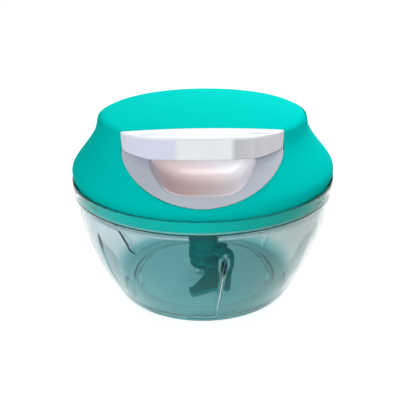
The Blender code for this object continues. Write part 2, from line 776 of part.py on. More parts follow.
def root_lobes():
    """Rounded knobs of the holder that clamp the roots of the blade arms."""
    lobes = []
    for height, arms, first in (
            (LOWER_BLADE_HEIGHT, LOWER_ARMS, LOWER_ROOT_ANGLE),
            (UPPER_BLADE_HEIGHT, UPPER_ARMS, UPPER_ROOT_ANGLE)):
        for angle in ring_angles(arms, first):
            place = (ROOT_LOBE_REACH * math.cos(angle), ROOT_LOBE_REACH * math.sin(angle))
            foot = max(HOLDER_FOOT, height - ROOT_LOBE_HALF_HEIGHT)
            lobes.append(cylinder_mesh(
                ROOT_LOBE_RADIUS, foot, height + ROOT_LOBE_HALF_HEIGHT, SMALL_SIDES, place))
    return lobes


def blade_grooves():
    """Room for the blades' rings and roots in the holder."""
    grooves = []
    half = BLADE_THICKNESS / 2 + TOUCH_GAP
    outer = ROOT_LOBE_REACH + ROOT_LOBE_RADIUS + OVERRUN
    inner = HOLDER_RADIUS - GROOVE_DEPTH
    for height in (LOWER_BLADE_HEIGHT, UPPER_BLADE_HEIGHT):
        grooves.append(turned_mesh(
            [(outer, height + half), (outer, height - half), (inner, height - half),
             (inner, height + half)], MIDDLE_SIDES, True))
    return joined(grooves)


def head_dogs():
    """Three drive dogs on the holder's head."""
    reach = CUP_BORE - DOG_GAP
    dog = box_mesh(
        (HEAD_CORE_RADIUS / 2, -DOG_WIDTH / 2, HOLDER_TOP - TOUCH_GAP), (reach, DOG_WIDTH / 2, HEAD_TOP))
    return copies_about_z(dog, ring_angles(DOG_COUNT, math.pi / 2))


def make_blade_holder(frame):
    profile = [
        (0.0, HEAD_TOP), (HEAD_CORE_RADIUS, HEAD_TOP), (HEAD_CORE_RADIUS, HOLDER_TOP),
        (HOLDER_RADIUS - HOLDER_EDGE / 2, HOLDER_TOP), (HOLDER_RADIUS, HOLDER_TOP - HOLDER_EDGE / 2),
        (HOLDER_RADIUS, HOLDER_FOOT + HOLDER_EDGE), (HOLDER_RADIUS - HOLDER_EDGE, HOLDER_FOOT),
        (HOLDER_BORE, HOLDER_FOOT), (HOLDER_BORE, PIN_TOP + HOLDER_BORE_ROOM),
        (0.0, PIN_TOP + HOLDER_BORE_ROOM),
    ]
    holder = add_part(
        "blade_holder", profile_mesh(profile, False), plastic("holder_plastic", DARK_TEAL), frame)
    spin(holder, MIDDLE_SIDES)
    for index, lobe in enumerate(root_lobes()):
        combine(holder, lobe, "UNION", "lobe_%d" % (index + 1))
    combine(holder, head_dogs(), "UNION", "dogs")
    combine(holder, blade_grooves(), "DIFFERENCE", "grooves")


# Seal

def make_seal_ring(frame):
    profile = [
        (SEAL_RADIUS, SEAL_FOOT + SEAL_HEIGHT), (SEAL_RADIUS, SEAL_FOOT + SEAL_LIP),
        (SKIRT_RADIUS - BORE_GAP, SEAL_FOOT + SEAL_LIP), (SKIRT_RADIUS - BORE_GAP, SEAL_FOOT),
        (SEAL_BORE, SEAL_FOOT), (SEAL_BORE, SEAL_FOOT + SEAL_HEIGHT),
    ]
    seal = add_part("seal_ring", profile_mesh(profile, True), plastic("silicone", PALE, 0.5), frame)
    spin(seal, WIDE_SIDES)


# Lid cover

def lid_side(inset):
    """The cover's bulging side from its top edge down, moved in by a wall."""
    rise = LID_TOP - FLANGE_HEIGHT
    gain = LID_WIDEST_RADIUS - LID_TOP_RADIUS
    return [
        (LID_TOP_RADIUS + share * gain - inset, FLANGE_HEIGHT + level * rise)
        for level, share in reversed(LID_SIDE_SHARES)
    ]


def lid_outside():
    top = [
        (0.0, LID_TOP), (LID_TOP_RADIUS - LID_TOP_FILLET, LID_TOP),
        (LID_TOP_RADIUS - LID_TOP_FILLET / 4, LID_TOP - LID_TOP_FILLET / 4),
    ]
    return top + lid_side(0.0)


def cover_profile():
    """Down the outside to the skirt's foot and up the inside to the spring post."""
    skirt = [
        (SKIRT_RADIUS, FLANGE_HEIGHT), (SKIRT_RADIUS, SKIRT_FOOT), (SKIRT_BORE, SKIRT_FOOT),
        (SKIRT_BORE, SKIRT_TOP),
    ]
    inside = [point for point in reversed(lid_side(LID_WALL)) if SKIRT_TOP + LID_WALL < point[1]]
    roof = [
        (LID_TOP_RADIUS - LID_TOP_FILLET - LID_WALL, LID_ROOF), (POST_RADIUS, LID_ROOF),
        (POST_RADIUS, POST_FOOT), (SPOOL_BORE, POST_FOOT), (SPOOL_BORE, AXLE_TOP + TOUCH_GAP),
        (0.0, AXLE_TOP + TOUCH_GAP),
    ]
    return lid_outside() + skirt + inside + roof


def lid_envelope():
    """The solid that reaches the middle of the cover's wall, down to the flange."""
    roof = LID_TOP - LID_TOP_WALL / 2
    side = lid_side(LID_WALL / 2)
    outline = [(0.0, roof), (LID_TOP_RADIUS - LID_TOP_FILLET - LID_WALL / 2, roof)] + side
    return turned_mesh(outline + [(0.0, FLANGE_HEIGHT)], WIDE_SIDES)


def handle_front_outline(grow, top):
    """The handle's half-moon seen from the front, grown outwards, as width and height."""
    half = HANDLE_HALF_WIDTH + grow
    drop = HANDLE_DROP + grow
    points = [(half, top)]
    for step in range(HANDLE_STEPS + 1):
        turn = math.pi / 2 * step / HANDLE_STEPS
        share = math.cos(turn)
        fall = (1.0 - share * share) ** HANDLE_ROUND_SHARE
        points.append((half * share, HANDLE_STRAIGHT_FOOT - drop * fall))
    return points + [(-across, height) for across, height in reversed(points[:-1])]


def back_edge(grow, deepen):
    """The handle's curved back seen from above, from +X to -X."""
    half = HANDLE_HALF_WIDTH + grow
    points = []
    for step in range(BACK_STEPS + 1):
        share = 1 - 2 * step / BACK_STEPS
        points.append((half * share, deepen - HANDLE_BACK - HANDLE_BACK_SAG * share * share))
    return points


def half_moon_prism(grow, top):
    """The half-moon carried along Y, longer than the handle is deep."""
    prism = along_y(plate_mesh(handle_front_outline(grow, top), 2 * LID_WIDEST_RADIUS))
    return moved(prism, Matrix.Translation((0.0, -LID_WIDEST_RADIUS, 0.0)))


def plan_prism(outline):
    """An outline seen from above, carried up past the lid's top."""
    return moved(plate_mesh(outline, 2 * LID_TOP), Matrix.Translation((0.0, 0.0, LID_TOP)))


def pocket_plan(grow, deepen):
    """Everything in front of the handle's back, seen from above."""
    half = HANDLE_HALF_WIDTH + grow + OVERRUN
    front = -LID_WIDEST_RADIUS - OVERRUN
    edge = back_edge(grow + OVERRUN, deepen)
    return edge + [(-half, front), (half, front)]


def handle_room(grow, top):
    """The space that the handle and its clearance fill, open to the front."""
    return shaped(half_moon_prism(grow, top), ("INTERSECT", plan_prism(pocket_plan(grow, grow))))


def pocket_block():
    """The walls round the handle, inside the lid's outer surface."""
    grow = SLIDE_GAP + POCKET_WALL
    return shaped(handle_room(grow, LID_TOP + OVERRUN), ("INTERSECT", lid_envelope()))


def screw_places():
    return [
        (COVER_SCREW_CIRCLE * math.cos(angle), COVER_SCREW_CIRCLE * math.sin(angle))
        for angle in COVER_SCREW_ANGLES
    ]


def cover_posts():
    foot = PLATE_TOP + TOUCH_GAP
    return joined([
        cylinder_mesh(SCREW_POST_RADIUS, foot, SCREW_POST_TOP, SMALL_SIDES, place)
        for place in screw_places()
    ])


def cover_post_bores():
    foot = PLATE_TOP - OVERRUN
    top = PLATE_FOOT + SCREW_LENGTH + OVERRUN
    return joined([
        cylinder_mesh(SCREW_RADIUS + BORE_GAP, foot, top, SMALL_SIDES, place) for place in screw_places()
    ])


def sector_mesh(inner, outer, foot, top, start, end, steps):
    """Part of a ring between two angles."""
    angles = [start + (end - start) * step / steps for step in range(steps + 1)]
    outline = [(outer * math.cos(angle), outer * math.sin(angle)) for angle in angles]
    outline += [(inner * math.cos(angle), inner * math.sin(angle)) for angle in reversed(angles)]
    return moved(plate_mesh(outline, top - foot), Matrix.Translation((0.0, 0.0, (foot + top) / 2)))


def bayonet_slots():
    """L-shaped slots in the skirt: up past the lug, then round as far as the lid locks."""
    inner = LUG_RADIUS - SLOT_GAP
    outer = SKIRT_RADIUS + OVERRUN
    half = (LUG_WIDTH / 2 + SLOT_GAP) / LUG_RADIUS
    top = LUG_FOOT + LUG_HEIGHT + SLOT_GAP
    entry = sector_mesh(inner, outer, SKIRT_FOOT - OVERRUN, top, -half, half, SLOT_STEPS)
    run = sector_mesh(inner, outer, LUG_FOOT - SLOT_GAP, top, -half, LOCK_ANGLE + half, SLOT_STEPS)
    slot = shaped(entry, ("UNION", run))
    return copies_about_z(slot, ring_angles(LUG_COUNT, LUG_FIRST_ANGLE))


def guide_bore():
    """The hole for the cord guide in the pocket's back wall."""
    outer = CORD_RADIUS + GUIDE_BORE_GAP + GUIDE_WALL + BORE_GAP
    depth = POCKET_WALL + 2 * OVERRUN
    bore = along_y(cylinder_mesh(outer, -depth / 2, depth / 2, SMALL_SIDES))
    middle = SLIDE_GAP - HANDLE_BACK + POCKET_WALL / 2
    return moved(bore, Matrix.Translation((0.0, middle, CORD_HEIGHT)))


def make_lid_cover(frame):
    cover = add_part("lid_cover", profile_mesh(cover_profile(), False), plastic("lid_teal", TEAL), frame)
    spin(cover, WIDE_SIDES)
    combine(cover, pocket_block(), "UNION", "pocket_walls")
    combine(cover, cover_posts(), "UNION", "posts")
    combine(cover, handle_room(SLIDE_GAP, LID_TOP + OVERRUN), "DIFFERENCE", "pocket")
    combine(cover, cover_post_bores(), "DIFFERENCE", "post_bores")
    combine(cover, bayonet_slots(), "DIFFERENCE", "bayonet")
    combine(cover, guide_bore(), "DIFFERENCE", "guide_bore")


# Pull handle

def side_prism(inset, back_over):
    """The handle seen from the side: a lip above, and the slanted flange below it."""
    slope = HANDLE_DROP / (FLANGE_FOOT - FLANGE_TOP)
    sink = inset * math.sqrt(1.0 + slope * slope)
    lip_foot = LIP_FOOT + inset
    foot = HANDLE_FOOT - OVERRUN
    flange_y = -FLANGE_TOP + (lip_foot - HANDLE_STRAIGHT_FOOT + sink) / slope
    foot_y = -FLANGE_TOP + (foot - HANDLE_STRAIGHT_FOOT + sink) / slope
    back = back_over - HANDLE_BACK + OVERRUN
    outline = [
        (back, LID_TOP - inset), (-HANDLE_FRONT + inset, LID_TOP - inset),
        (-HANDLE_FRONT + inset, lip_foot), (flange_y, lip_foot), (foot_y, foot), (back, foot),
    ]
    prism = along_y(plate_mesh(outline, 2 * HANDLE_HALF_WIDTH + 2 * OVERRUN))
    return moved(prism, Matrix.Rotation(math.pi / 2, 4, "Z"))


def lip_plan(inset, back_over):
    """The handle seen from above: curved back, and a front that bows out in the middle.
    Below the lip the flange reaches further forward, so this bounds the lip alone."""
    half = HANDLE_HALF_WIDTH
    reach = HANDLE_FRONT - HANDLE_CORNER
    right = [
        (across * half, inset - HANDLE_CORNER - along * reach) for across, along in LIP_SHARES
    ]
    left = [(-across, along) for across, along in right]
    corner = inset - HANDLE_CORNER + OVERRUN
    return back_edge(OVERRUN, back_over) + [(-half - OVERRUN, corner)] + left + list(
        reversed(right[:-1])) + [(half + OVERRUN, corner)]


def handle_body(inset, back_over):
    """The handle's outer form, moved in by a wall; the back is moved out past the form."""
    body = shaped(
        half_moon_prism(-inset, LID_TOP + OVERRUN), ("INTERSECT", side_prism(inset, back_over)),
        ("INTERSECT", plan_prism(pocket_plan(0.0, back_over))))
    level = LIP_FOOT + inset - TOUCH_GAP
    side = HANDLE_HALF_WIDTH + 2 * OVERRUN
    front = box_mesh((-side, -LID_TOP, level), (side, 0.0, LID_TOP + 2 * OVERRUN))
    trim = shaped(front, ("DIFFERENCE", plan_prism(lip_plan(inset, back_over + OVERRUN))))
    return shaped(body, ("DIFFERENCE", trim))


def finger_hollow(grow):
    """The rounded hollow behind the flange's opening, narrower below than above."""
    shape = bmesh.new()
    bmesh.ops.create_uvsphere(shape, u_segments=HOLLOW_SIDES, v_segments=HOLLOW_RINGS, radius=1.0)
    for vert in shape.verts:
        length = sum(abs(value) ** HOLLOW_ROUND_POWER for value in vert.co) ** (1.0 / HOLLOW_ROUND_POWER)
        x, y, z = vert.co / length
        narrow = 1.0 - HOLLOW_TAPER_SHARE * (1.0 - z) / 2
        vert.co = (
            x * narrow * HOLLOW_HALF_WIDTH + x * grow,
            y * (HOLLOW_HALF_DEPTH + grow) - HOLLOW_CENTRE_DEPTH,
            z * (HOLLOW_HALF_HEIGHT + grow) + HOLLOW_CENTRE,
        )
    mesh = bpy.data.meshes.new("hollow")
    shape.to_mesh(mesh)
    shape.free()
    return mesh


def hollow_behind_lip():
    """The finger hollow, kept off the lip's front wall."""
    front = HANDLE_WALL - HANDLE_FRONT
    lip = box_mesh((-LID_TOP, -LID_TOP, LIP_FOOT - OVERRUN), (LID_TOP, front, LID_TOP))
    return shaped(finger_hollow(0.0), ("DIFFERENCE", lip))


def bead_centre():
    return BEAD_SEAT + BEAD_RADIUS + BEAD_ROOM / 2


def bead_boss():
    """The block behind the hollow that holds the cord's bead."""
    depth = bead_centre() + BEAD_RADIUS + BEAD_ROOM + HANDLE_WALL
    return box_mesh(
        (-BEAD_BOSS_HALF_WIDTH, -HANDLE_BACK - depth, LID_TOP - BEAD_BOSS_DROP),
        (BEAD_BOSS_HALF_WIDTH, 2 * OVERRUN - HANDLE_BACK, LID_TOP - HANDLE_WALL / 2))


def bead_slot():
    """The room for the bead and the cord, entered from the +X side."""
    room = BEAD_RADIUS + BEAD_ROOM
    side = BEAD_BOSS_HALF_WIDTH + OVERRUN
    bead = box_mesh(
        (-room, -HANDLE_BACK - bead_centre() - room, CORD_HEIGHT - room),
        (side, -HANDLE_BACK - BEAD_SEAT, CORD_HEIGHT + room))
    half = CORD_RADIUS + CORD_BORE_GAP
    cord = box_mesh(
        (-half, -HANDLE_BACK - bead_centre(), CORD_HEIGHT - half),
        (side, -HANDLE_BACK + OVERRUN, CORD_HEIGHT + half))
    return shaped(bead, ("UNION", cord))


def top_dimples():
    """Two shallow ovals in the handle's top face."""
    dimples = []
    for side in (-1.0, 1.0):
        oval = cylinder_mesh(1.0, -DIMPLE_DEPTH, OVERRUN, SMALL_SIDES)
        oval = moved(oval, Matrix.Diagonal((DIMPLE_HALF_WIDTH, DIMPLE_HALF_DEPTH, 1.0, 1.0)))
        dimples.append(moved(oval, Matrix.Translation((side * DIMPLE_OFFSET, -DIMPLE_SETBACK, LID_TOP))))
    return joined(dimples)


def make_pull_handle(frame):
    core = shaped(
        handle_body(HANDLE_WALL, OVERRUN), ("DIFFERENCE", finger_hollow(HANDLE_WALL)),
        ("DIFFERENCE", bead_boss()))
    mesh = shaped(
        handle_body(0.0, 0.0), ("DIFFERENCE", core), ("DIFFERENCE", hollow_behind_lip()),
        ("DIFFERENCE", bead_slot()), ("DIFFERENCE", top_dimples()))
    handle = add_part("pull_handle", mesh, plastic("handle_white", WHITE, 0.2), frame)
    smooth(handle, math.radians(30.0))


def make_cord_bead(frame):
    shape = bmesh.new()
    bmesh.ops.create_uvsphere(shape, u_segments=SMALL_SIDES, v_segments=SMALL_SIDES // 2, radius=BEAD_RADIUS)
    mesh = bpy.data.meshes.new("bead")
    shape.to_mesh(mesh)
    shape.free()
    place = (0.0, -HANDLE_BACK - bead_centre(), CORD_HEIGHT)
    bead = add_part("cord_bead", moved(mesh, Matrix.Translation(place)), plastic("bead_white", WHITE), frame)
    smooth(bead, math.radians(40.0))


# Cord and spool

def guide_y():
    """Where the cord enters its guide, behind the pocket's back wall."""
    return SLIDE_GAP - HANDLE_BACK + POCKET_WALL + TOUCH_GAP + GUIDE_FLANGE_THICKNESS


def leave_angle():
    """Where on the drum the cord leaves for its guide, on the +X side."""
    return math.acos(WINDING_RADIUS / abs(guide_y())) - math.pi / 2


def winding_points():
    """The cord on the drum, in one layer, from its last turn down to its first."""
    points = []
    last = CORD_TURNS * LOOP_POINTS
    start = leave_angle() + TOUCH_GAP / WINDING_RADIUS
    for step in range(last + 1):
        angle = start + math.tau * step / LOOP_POINTS
        height = CORD_HEIGHT - CORD_PITCH * step / LOOP_POINTS
        points.append((WINDING_RADIUS * math.cos(angle), WINDING_RADIUS * math.sin(angle), height))
    return points


def make_cord_winding(frame):
    points = winding_points()
    print_least_gap("cord_winding", points, CORD_RADIUS, LOOP_POINTS)
    finish = plastic("cord_white", PALE, 0.7)
    winding = add_part("cord_winding", tube_mesh(points, CORD_RADIUS), finish, frame)
    smooth(winding, math.radians(80.0))


def lead_points():
    """The cord from the drum through its guide to the bead in the handle."""
    angle = leave_angle()
    start = Vector((WINDING_RADIUS * math.cos(angle), WINDING_RADIUS * math.sin(angle), CORD_HEIGHT))
    turn = Vector((0.0, guide_y(), CORD_HEIGHT))
    end = Vector((0.0, -HANDLE_BACK - BEAD_SEAT - BEAD_ROOM / 2 + TOUCH_GAP, CORD_HEIGHT))
    before = turn + (start - turn) / LEAD_POINTS
    after = turn + Vector((0.0, -POCKET_WALL, 0.0))
    points = [start, start + (before - start) / 2, before]
    for step in range(1, LEAD_POINTS):
        share = step / LEAD_POINTS
        points.append(before.lerp(turn, share).lerp(turn.lerp(after, share), share))
    return points + [after, end]


def make_cord_lead(frame):
    finish = plastic("lead_white", PALE, 0.7)
    lead = add_part("cord_lead", tube_mesh(lead_points(), CORD_RADIUS), finish, frame)
    smooth(lead, math.radians(80.0))


def make_cord_guide(frame):
    bore = CORD_RADIUS + GUIDE_BORE_GAP
    outer = bore + GUIDE_WALL
    flange = outer + GUIDE_FLANGE_WALL
    wall_front = SLIDE_GAP - HANDLE_BACK
    flange_front = wall_front + POCKET_WALL + TOUCH_GAP
    profile = [
        (flange, flange_front + GUIDE_FLANGE_THICKNESS), (flange, flange_front),
        (outer, flange_front), (outer, wall_front + TOUCH_GAP), (bore, wall_front + TOUCH_GAP),
        (bore, flange_front + GUIDE_FLANGE_THICKNESS),
    ]
    guide = turned_mesh(profile, SMALL_SIDES, True)
    guide = moved(guide, Matrix.Translation((0.0, 0.0, CORD_HEIGHT)) @ Matrix.Rotation(-math.pi / 2, 4, "X"))
    add_part("cord_guide", guide, metal("guide_steel", STEEL), frame)


def tooth_ring(root, tip, body, shift):
    """A ring of saw-tooth face teeth between a root level and a tip level, on a flat body."""
    shape = bmesh.new()
    rings = []
    for index in range(TOOTH_COUNT):
        angle = shift + math.tau * index / TOOTH_COUNT
        for level in (root, tip):
            column = []
            for radius in (TOOTH_INNER_RADIUS, TOOTH_OUTER_RADIUS):
                column.append(shape.verts.new((radius * math.cos(angle), radius * math.sin(angle), level)))
            for radius in (TOOTH_INNER_RADIUS, TOOTH_OUTER_RADIUS):
                column.append(shape.verts.new((radius * math.cos(angle), radius * math.sin(angle), body)))
            rings.append(column)
    count = len(rings)
    for index in range(0, count, 2):
        steep, ramp = rings[index], rings[index + 1]
        after = rings[(index + 2) % count]
        shape.faces.new((steep[0], steep[1], ramp[1], ramp[0]))
        shape.faces.new((ramp[0], ramp[1], after[1], after[0]))
        shape.faces.new((steep[2], steep[3], after[3], after[2]))
        shape.faces.new((steep[0], ramp[0], after[0], after[2], steep[2]))
        shape.faces.new((steep[1], ramp[1], after[1], after[3], steep[3]))
    loose = [vert for vert in shape.verts if not vert.link_faces]
    bmesh.ops.delete(shape, geom=loose, context="VERTS")
    bmesh.ops.triangulate(shape, faces=shape.faces)
    bmesh.ops.recalc_face_normals(shape, faces=shape.faces)
    mesh = bpy.data.meshes.new("teeth")
    shape.to_mesh(mesh)
    shape.free()
    return mesh


def make_spool(frame):
    profile = [
        (DRUM_BORE, SPOOL_TOP), (SPOOL_RADIUS, SPOOL_TOP), (SPOOL_RADIUS, SPOOL_TOP - SPOOL_FLANGE),
        (DRUM_RADIUS, SPOOL_TOP - SPOOL_FLANGE), (DRUM_RADIUS, SPOOL_GROOVE_FOOT),
        (SPOOL_RADIUS, SPOOL_GROOVE_FOOT), (SPOOL_RADIUS, SPOOL_FLOOR_FOOT),
        (SPOOL_HUB_RADIUS, SPOOL_FLOOR_FOOT), (SPOOL_HUB_RADIUS, SPOOL_HUB_FOOT),
        (SPOOL_BORE, SPOOL_HUB_FOOT), (SPOOL_BORE, SPOOL_GROOVE_FOOT), (DRUM_BORE, SPOOL_GROOVE_FOOT),
    ]
    spool = add_part("spool", profile_mesh(profile, True), plastic("spool_plastic", PALE), frame)
    spin(spool, MIDDLE_SIDES)
    teeth = tooth_ring(SPOOL_FLOOR_FOOT, TOOTH_TIP, SPOOL_FLOOR_FOOT + TOOTH_ROOT, 0.0)
    combine(spool, teeth, "UNION", "teeth")


def spiral_points():
    """The middle line of the recoil spring, from the post out to the drum."""
    inner = POST_RADIUS + TOUCH_GAP + SPRING_STRIP / 2
    outer = DRUM_BORE - TOUCH_GAP - SPRING_STRIP / 2
    last = SPRING_TURNS * SPRING_TURN_POINTS
    points = []
    for step in range(last + 1):
        radius = inner + (outer - inner) * step / last
        angle = math.tau * step / SPRING_TURN_POINTS
        points.append((radius, angle))
    return points


def make_recoil_spring(frame):
    half = SPRING_STRIP / 2
    line = spiral_points()
    flat = [(radius * math.cos(angle), radius * math.sin(angle), 0.0) for radius, angle in line]
    print_least_gap("recoil_spring", flat, half, SPRING_TURN_POINTS)
    outer_edge = [(radius + half, angle) for radius, angle in line]
    inner_edge = [(radius - half, angle) for radius, angle in reversed(line)]
    outline = [
        (radius * math.cos(angle), radius * math.sin(angle)) for radius, angle in outer_edge + inner_edge
    ]
    middle = max(SPOOL_GROOVE_FOOT, POST_FOOT) + TOUCH_GAP + SPRING_HEIGHT / 2
    strip = moved(plate_mesh(outline, SPRING_HEIGHT), Matrix.Translation((0.0, 0.0, middle)))
    add_part("recoil_spring", strip, metal("spring_steel", STEEL), frame)


def make_axle(frame):
    groove_foot = CLIP_FOOT - TOUCH_GAP
    groove_top = CLIP_TOP + TOUCH_GAP
    groove = AXLE_RADIUS - AXLE_GROOVE_DEPTH
    profile = [
        (0.0, AXLE_TOP), (AXLE_RADIUS, AXLE_TOP), (AXLE_RADIUS, groove_top), (groove, groove_top),
        (groove, groove_foot), (AXLE_RADIUS, groove_foot), (AXLE_RADIUS, AXLE_FOOT), (0.0, AXLE_FOOT),
    ]
    axle = add_part("spool_axle", profile_mesh(profile, False), metal("axle_steel", STEEL), frame)
    spin(axle, SMALL_SIDES)
    washer_profile = [
        (SPOOL_HUB_RADIUS, WASHER_TOP), (SPOOL_HUB_RADIUS, WASHER_TOP - WASHER_THICKNESS),
        (SPOOL_BORE, WASHER_TOP - WASHER_THICKNESS), (SPOOL_BORE, WASHER_TOP),
    ]
    washer = add_part("axle_washer", profile_mesh(washer_profile, True), metal("washer_steel", STEEL), frame)
    spin(washer, MIDDLE_SIDES)
    inner = groove + TOUCH_GAP
    clip = sector_mesh(
        inner, inner + CLIP_WALL, CLIP_FOOT, CLIP_TOP, CLIP_OPENING / 2, math.tau - CLIP_OPENING / 2,
        CLIP_STEPS)
    add_part("axle_clip", clip, metal("clip_steel", STEEL), frame)


def make_clutch_disc(frame):
    profile = [
        (DISC_RECESS_RADIUS, DISC_TOP), (DISC_RADIUS, DISC_TOP), (DISC_RADIUS, DISC_RIM_FOOT),
        (DISC_HUB_RADIUS, DISC_RIM_FOOT), (DISC_HUB_RADIUS, DISC_FOOT), (HEAD_CORE_RADIUS, DISC_FOOT),
        (HEAD_CORE_RADIUS, DISC_WEB_TOP), (DISC_RECESS_RADIUS, DISC_WEB_TOP),
    ]
    disc = add_part("clutch_disc", profile_mesh(profile, True), plastic("disc_plastic", PALE), frame)
    spin(disc, MIDDLE_SIDES)
    shift = -TOOTH_GAP / TOOTH_INNER_RADIUS
    teeth = tooth_ring(DISC_TOP + TOOTH_HEIGHT, DISC_TOP, DISC_TOP - TOOTH_ROOT, shift)
    combine(disc, teeth, "UNION", "teeth")
    bore = cylinder_mesh(HEX_RADIUS + BORE_GAP, DISC_FOOT - OVERRUN, DISC_TOP + OVERRUN, HEX_SIDES)
    combine(disc, bore, "DIFFERENCE", "hexagon")


def make_clutch_spring(frame):
    radius = DISC_HUB_RADIUS + 2 * BORE_GAP + CLUTCH_WIRE_RADIUS
    foot = RING_TOP + TOUCH_GAP + CLUTCH_WIRE_RADIUS
    top = DISC_RIM_FOOT - TOUCH_GAP - CLUTCH_WIRE_RADIUS
    last = int(CLUTCH_SPRING_TURNS * LOOP_POINTS)
    points = []
    for step in range(last + 1):
        angle = math.tau * step / LOOP_POINTS
        height = foot + (top - foot) * step / last
        points.append((radius * math.cos(angle), radius * math.sin(angle), height))
    print_least_gap("clutch_spring", points, CLUTCH_WIRE_RADIUS, LOOP_POINTS)
    finish = metal("coil_steel", STEEL)
    spring = add_part("clutch_spring", tube_mesh(points, CLUTCH_WIRE_RADIUS), finish, frame)
    smooth(spring, math.radians(80.0))


# Lid base and drive

def make_lid_base(frame):
    lip = BASE_RIM_RADIUS + BASE_LIP_OVERHANG
    groove_top = SEAL_FOOT + SEAL_HEIGHT + TOUCH_GAP
    bearing = BEARING_BORE + BEARING_WALL
    profile = [
        (bearing, BEARING_TOP), (bearing, PLATE_TOP), (lip, PLATE_TOP), (lip, groove_top),
        (BASE_RIM_RADIUS, groove_top), (BASE_RIM_RADIUS, SEAL_FOOT - TOUCH_GAP),
        (lip, SEAL_FOOT - TOUCH_GAP), (lip, BASE_RIM_FOOT), (BASE_RIM_BORE, BASE_RIM_FOOT),
        (BASE_RIM_BORE, PLATE_FOOT),
        (BEARING_BORE, PLATE_FOOT), (BEARING_BORE, BEARING_TOP),
    ]
    base = add_part("lid_base", profile_mesh(profile, True), plastic("base_teal", TEAL), frame)
    spin(base, WIDE_SIDES)
    hole_radius = SCREW_RADIUS + 2 * BORE_GAP
    holes = joined([
        cylinder_mesh(hole_radius, PLATE_FOOT - OVERRUN, PLATE_TOP + OVERRUN, SMALL_SIDES, place)
        for place in screw_places()
    ])
    combine(base, holes, "DIFFERENCE", "screw_holes")


def screw_mesh():
    """A round-headed screw that points up, with a cross slot in its head."""
    foot = -SCREW_HEAD_HEIGHT
    profile = [
        (0.0, SCREW_LENGTH), (SCREW_RADIUS, SCREW_LENGTH), (SCREW_RADIUS, 0.0), (SCREW_HEAD_RADIUS, 0.0),
        (SCREW_HEAD_RADIUS, foot / 3), (SCREW_HEAD_RADIUS - SCREW_HEAD_HEIGHT / 2, foot), (0.0, foot),
    ]
    reach = SCREW_RADIUS
    half = SCREW_SLOT_WIDTH / 2
    bar = box_mesh((-reach, -half, foot - OVERRUN), (reach, half, foot + SCREW_SLOT_DEPTH))
    cross = box_mesh((-half, -reach, foot - OVERRUN), (half, reach, foot + SCREW_SLOT_DEPTH))
    return shaped(turned_mesh(profile, SMALL_SIDES), ("DIFFERENCE", bar), ("DIFFERENCE", cross))


def make_cover_screws(frame):
    mesh = screw_mesh()
    finish = metal("screw_steel", STEEL)
    for index, place in enumerate(screw_places()):
        screw = add_part("cover_screw_%d" % (index + 1), mesh, finish, frame)
        screw.location = (*place, PLATE_FOOT - TOUCH_GAP)


def make_drive_socket(frame):
    profile = [
        (0.0, BEARING_TOP), (SHANK_RADIUS, BEARING_TOP), (SHANK_RADIUS, CUP_TOP),
        (CUP_RADIUS, CUP_TOP), (CUP_RADIUS, CUP_FOOT), (CUP_BORE, CUP_FOOT), (CUP_BORE, CUP_CEILING),
        (0.0, CUP_CEILING),
    ]
    socket = add_part("drive_socket", profile_mesh(profile, False), plastic("socket_teal", TEAL), frame)
    spin(socket, MIDDLE_SIDES)
    dog = box_mesh(
        (SOCKET_DOG_INNER_RADIUS, -DOG_WIDTH / 2, CUP_FOOT + TOUCH_GAP),
        (CUP_BORE + DOG_ROOT, DOG_WIDTH / 2, CUP_CEILING + TOUCH_GAP))
    combine(socket, copies_about_z(dog, ring_angles(DOG_COUNT, -math.pi / 2)), "UNION", "dogs")
    hexagon = cylinder_mesh(HEX_RADIUS, BEARING_TOP - TOUCH_GAP, HEX_TOP, HEX_SIDES)
    combine(socket, hexagon, "UNION", "hexagon")
    bore = cylinder_mesh(SPOOL_BORE, HEX_TOP - SHANK_BORE_DEPTH, HEX_TOP + OVERRUN, SMALL_SIDES)
    combine(socket, bore, "DIFFERENCE", "bore")
    ring_profile = [
        (RING_RADIUS, RING_TOP), (RING_RADIUS, RING_FOOT), (RING_BORE, RING_FOOT), (RING_BORE, RING_TOP),
    ]
    ring = add_part("socket_ring", profile_mesh(ring_profile, True), metal("ring_steel", STEEL), frame)
    spin(ring, MIDDLE_SIDES)


# Frames that carry the moving groups, each on its own joint axis

def add_frame(name, place, parent=None):
    frame = bpy.data.objects.new(name, None)
    parts_collection.objects.link(frame)
    frame.location = place
    if parent is not None:
        frame.parent = parent
    return frame


def main():
    global parts_collection, cutters_collection
    clear_scene()
    parts_collection = new_collection("food_chopper")
    cutters_collection = new_collection("cutters")
    cutters_collection.hide_render = True

    bowl_frame = add_frame("bowl_frame", (0.0, 0.0, 0.0))
    blade_axis = add_frame("blade_axis", (0.0, 0.0, 0.0), bowl_frame)
    lid_lift = add_frame("lid_lift", (0.0, 0.0, 0.0), bowl_frame)
    lid_axis = add_frame("lid_axis", (0.0, 0.0, 0.0), lid_lift)
    spool_axis = add_frame("spool_axis", (0.0, 0.0, 0.0), lid_axis)
    drive_axis = add_frame("drive_axis", (0.0, 0.0, 0.0), lid_axis)
    clutch_axis = add_frame("clutch_axis", (0.0, 0.0, 0.0), drive_axis)
    handle_slide = add_frame("handle_slide", (0.0, -HANDLE_BACK, CORD_HEIGHT), lid_axis)

    make_bowl(bowl_frame)
    make_spindle_pin(bowl_frame)
    make_blade_holder(blade_axis)
    make_blades(blade_axis)
    make_seal_ring(lid_lift)
    make_lid_cover(lid_axis)
    make_lid_base(lid_axis)
    make_cover_screws(lid_axis)
    make_axle(lid_axis)
    make_cord_guide(lid_axis)
    make_cord_lead(lid_axis)
    make_recoil_spring(lid_axis)
    make_spool(spool_axis)
    make_cord_winding(spool_axis)
    make_drive_socket(drive_axis)
    make_clutch_spring(drive_axis)
    make_clutch_disc(clutch_axis)
    make_pull_handle(handle_slide)
    make_cord_bead(handle_slide)


main()
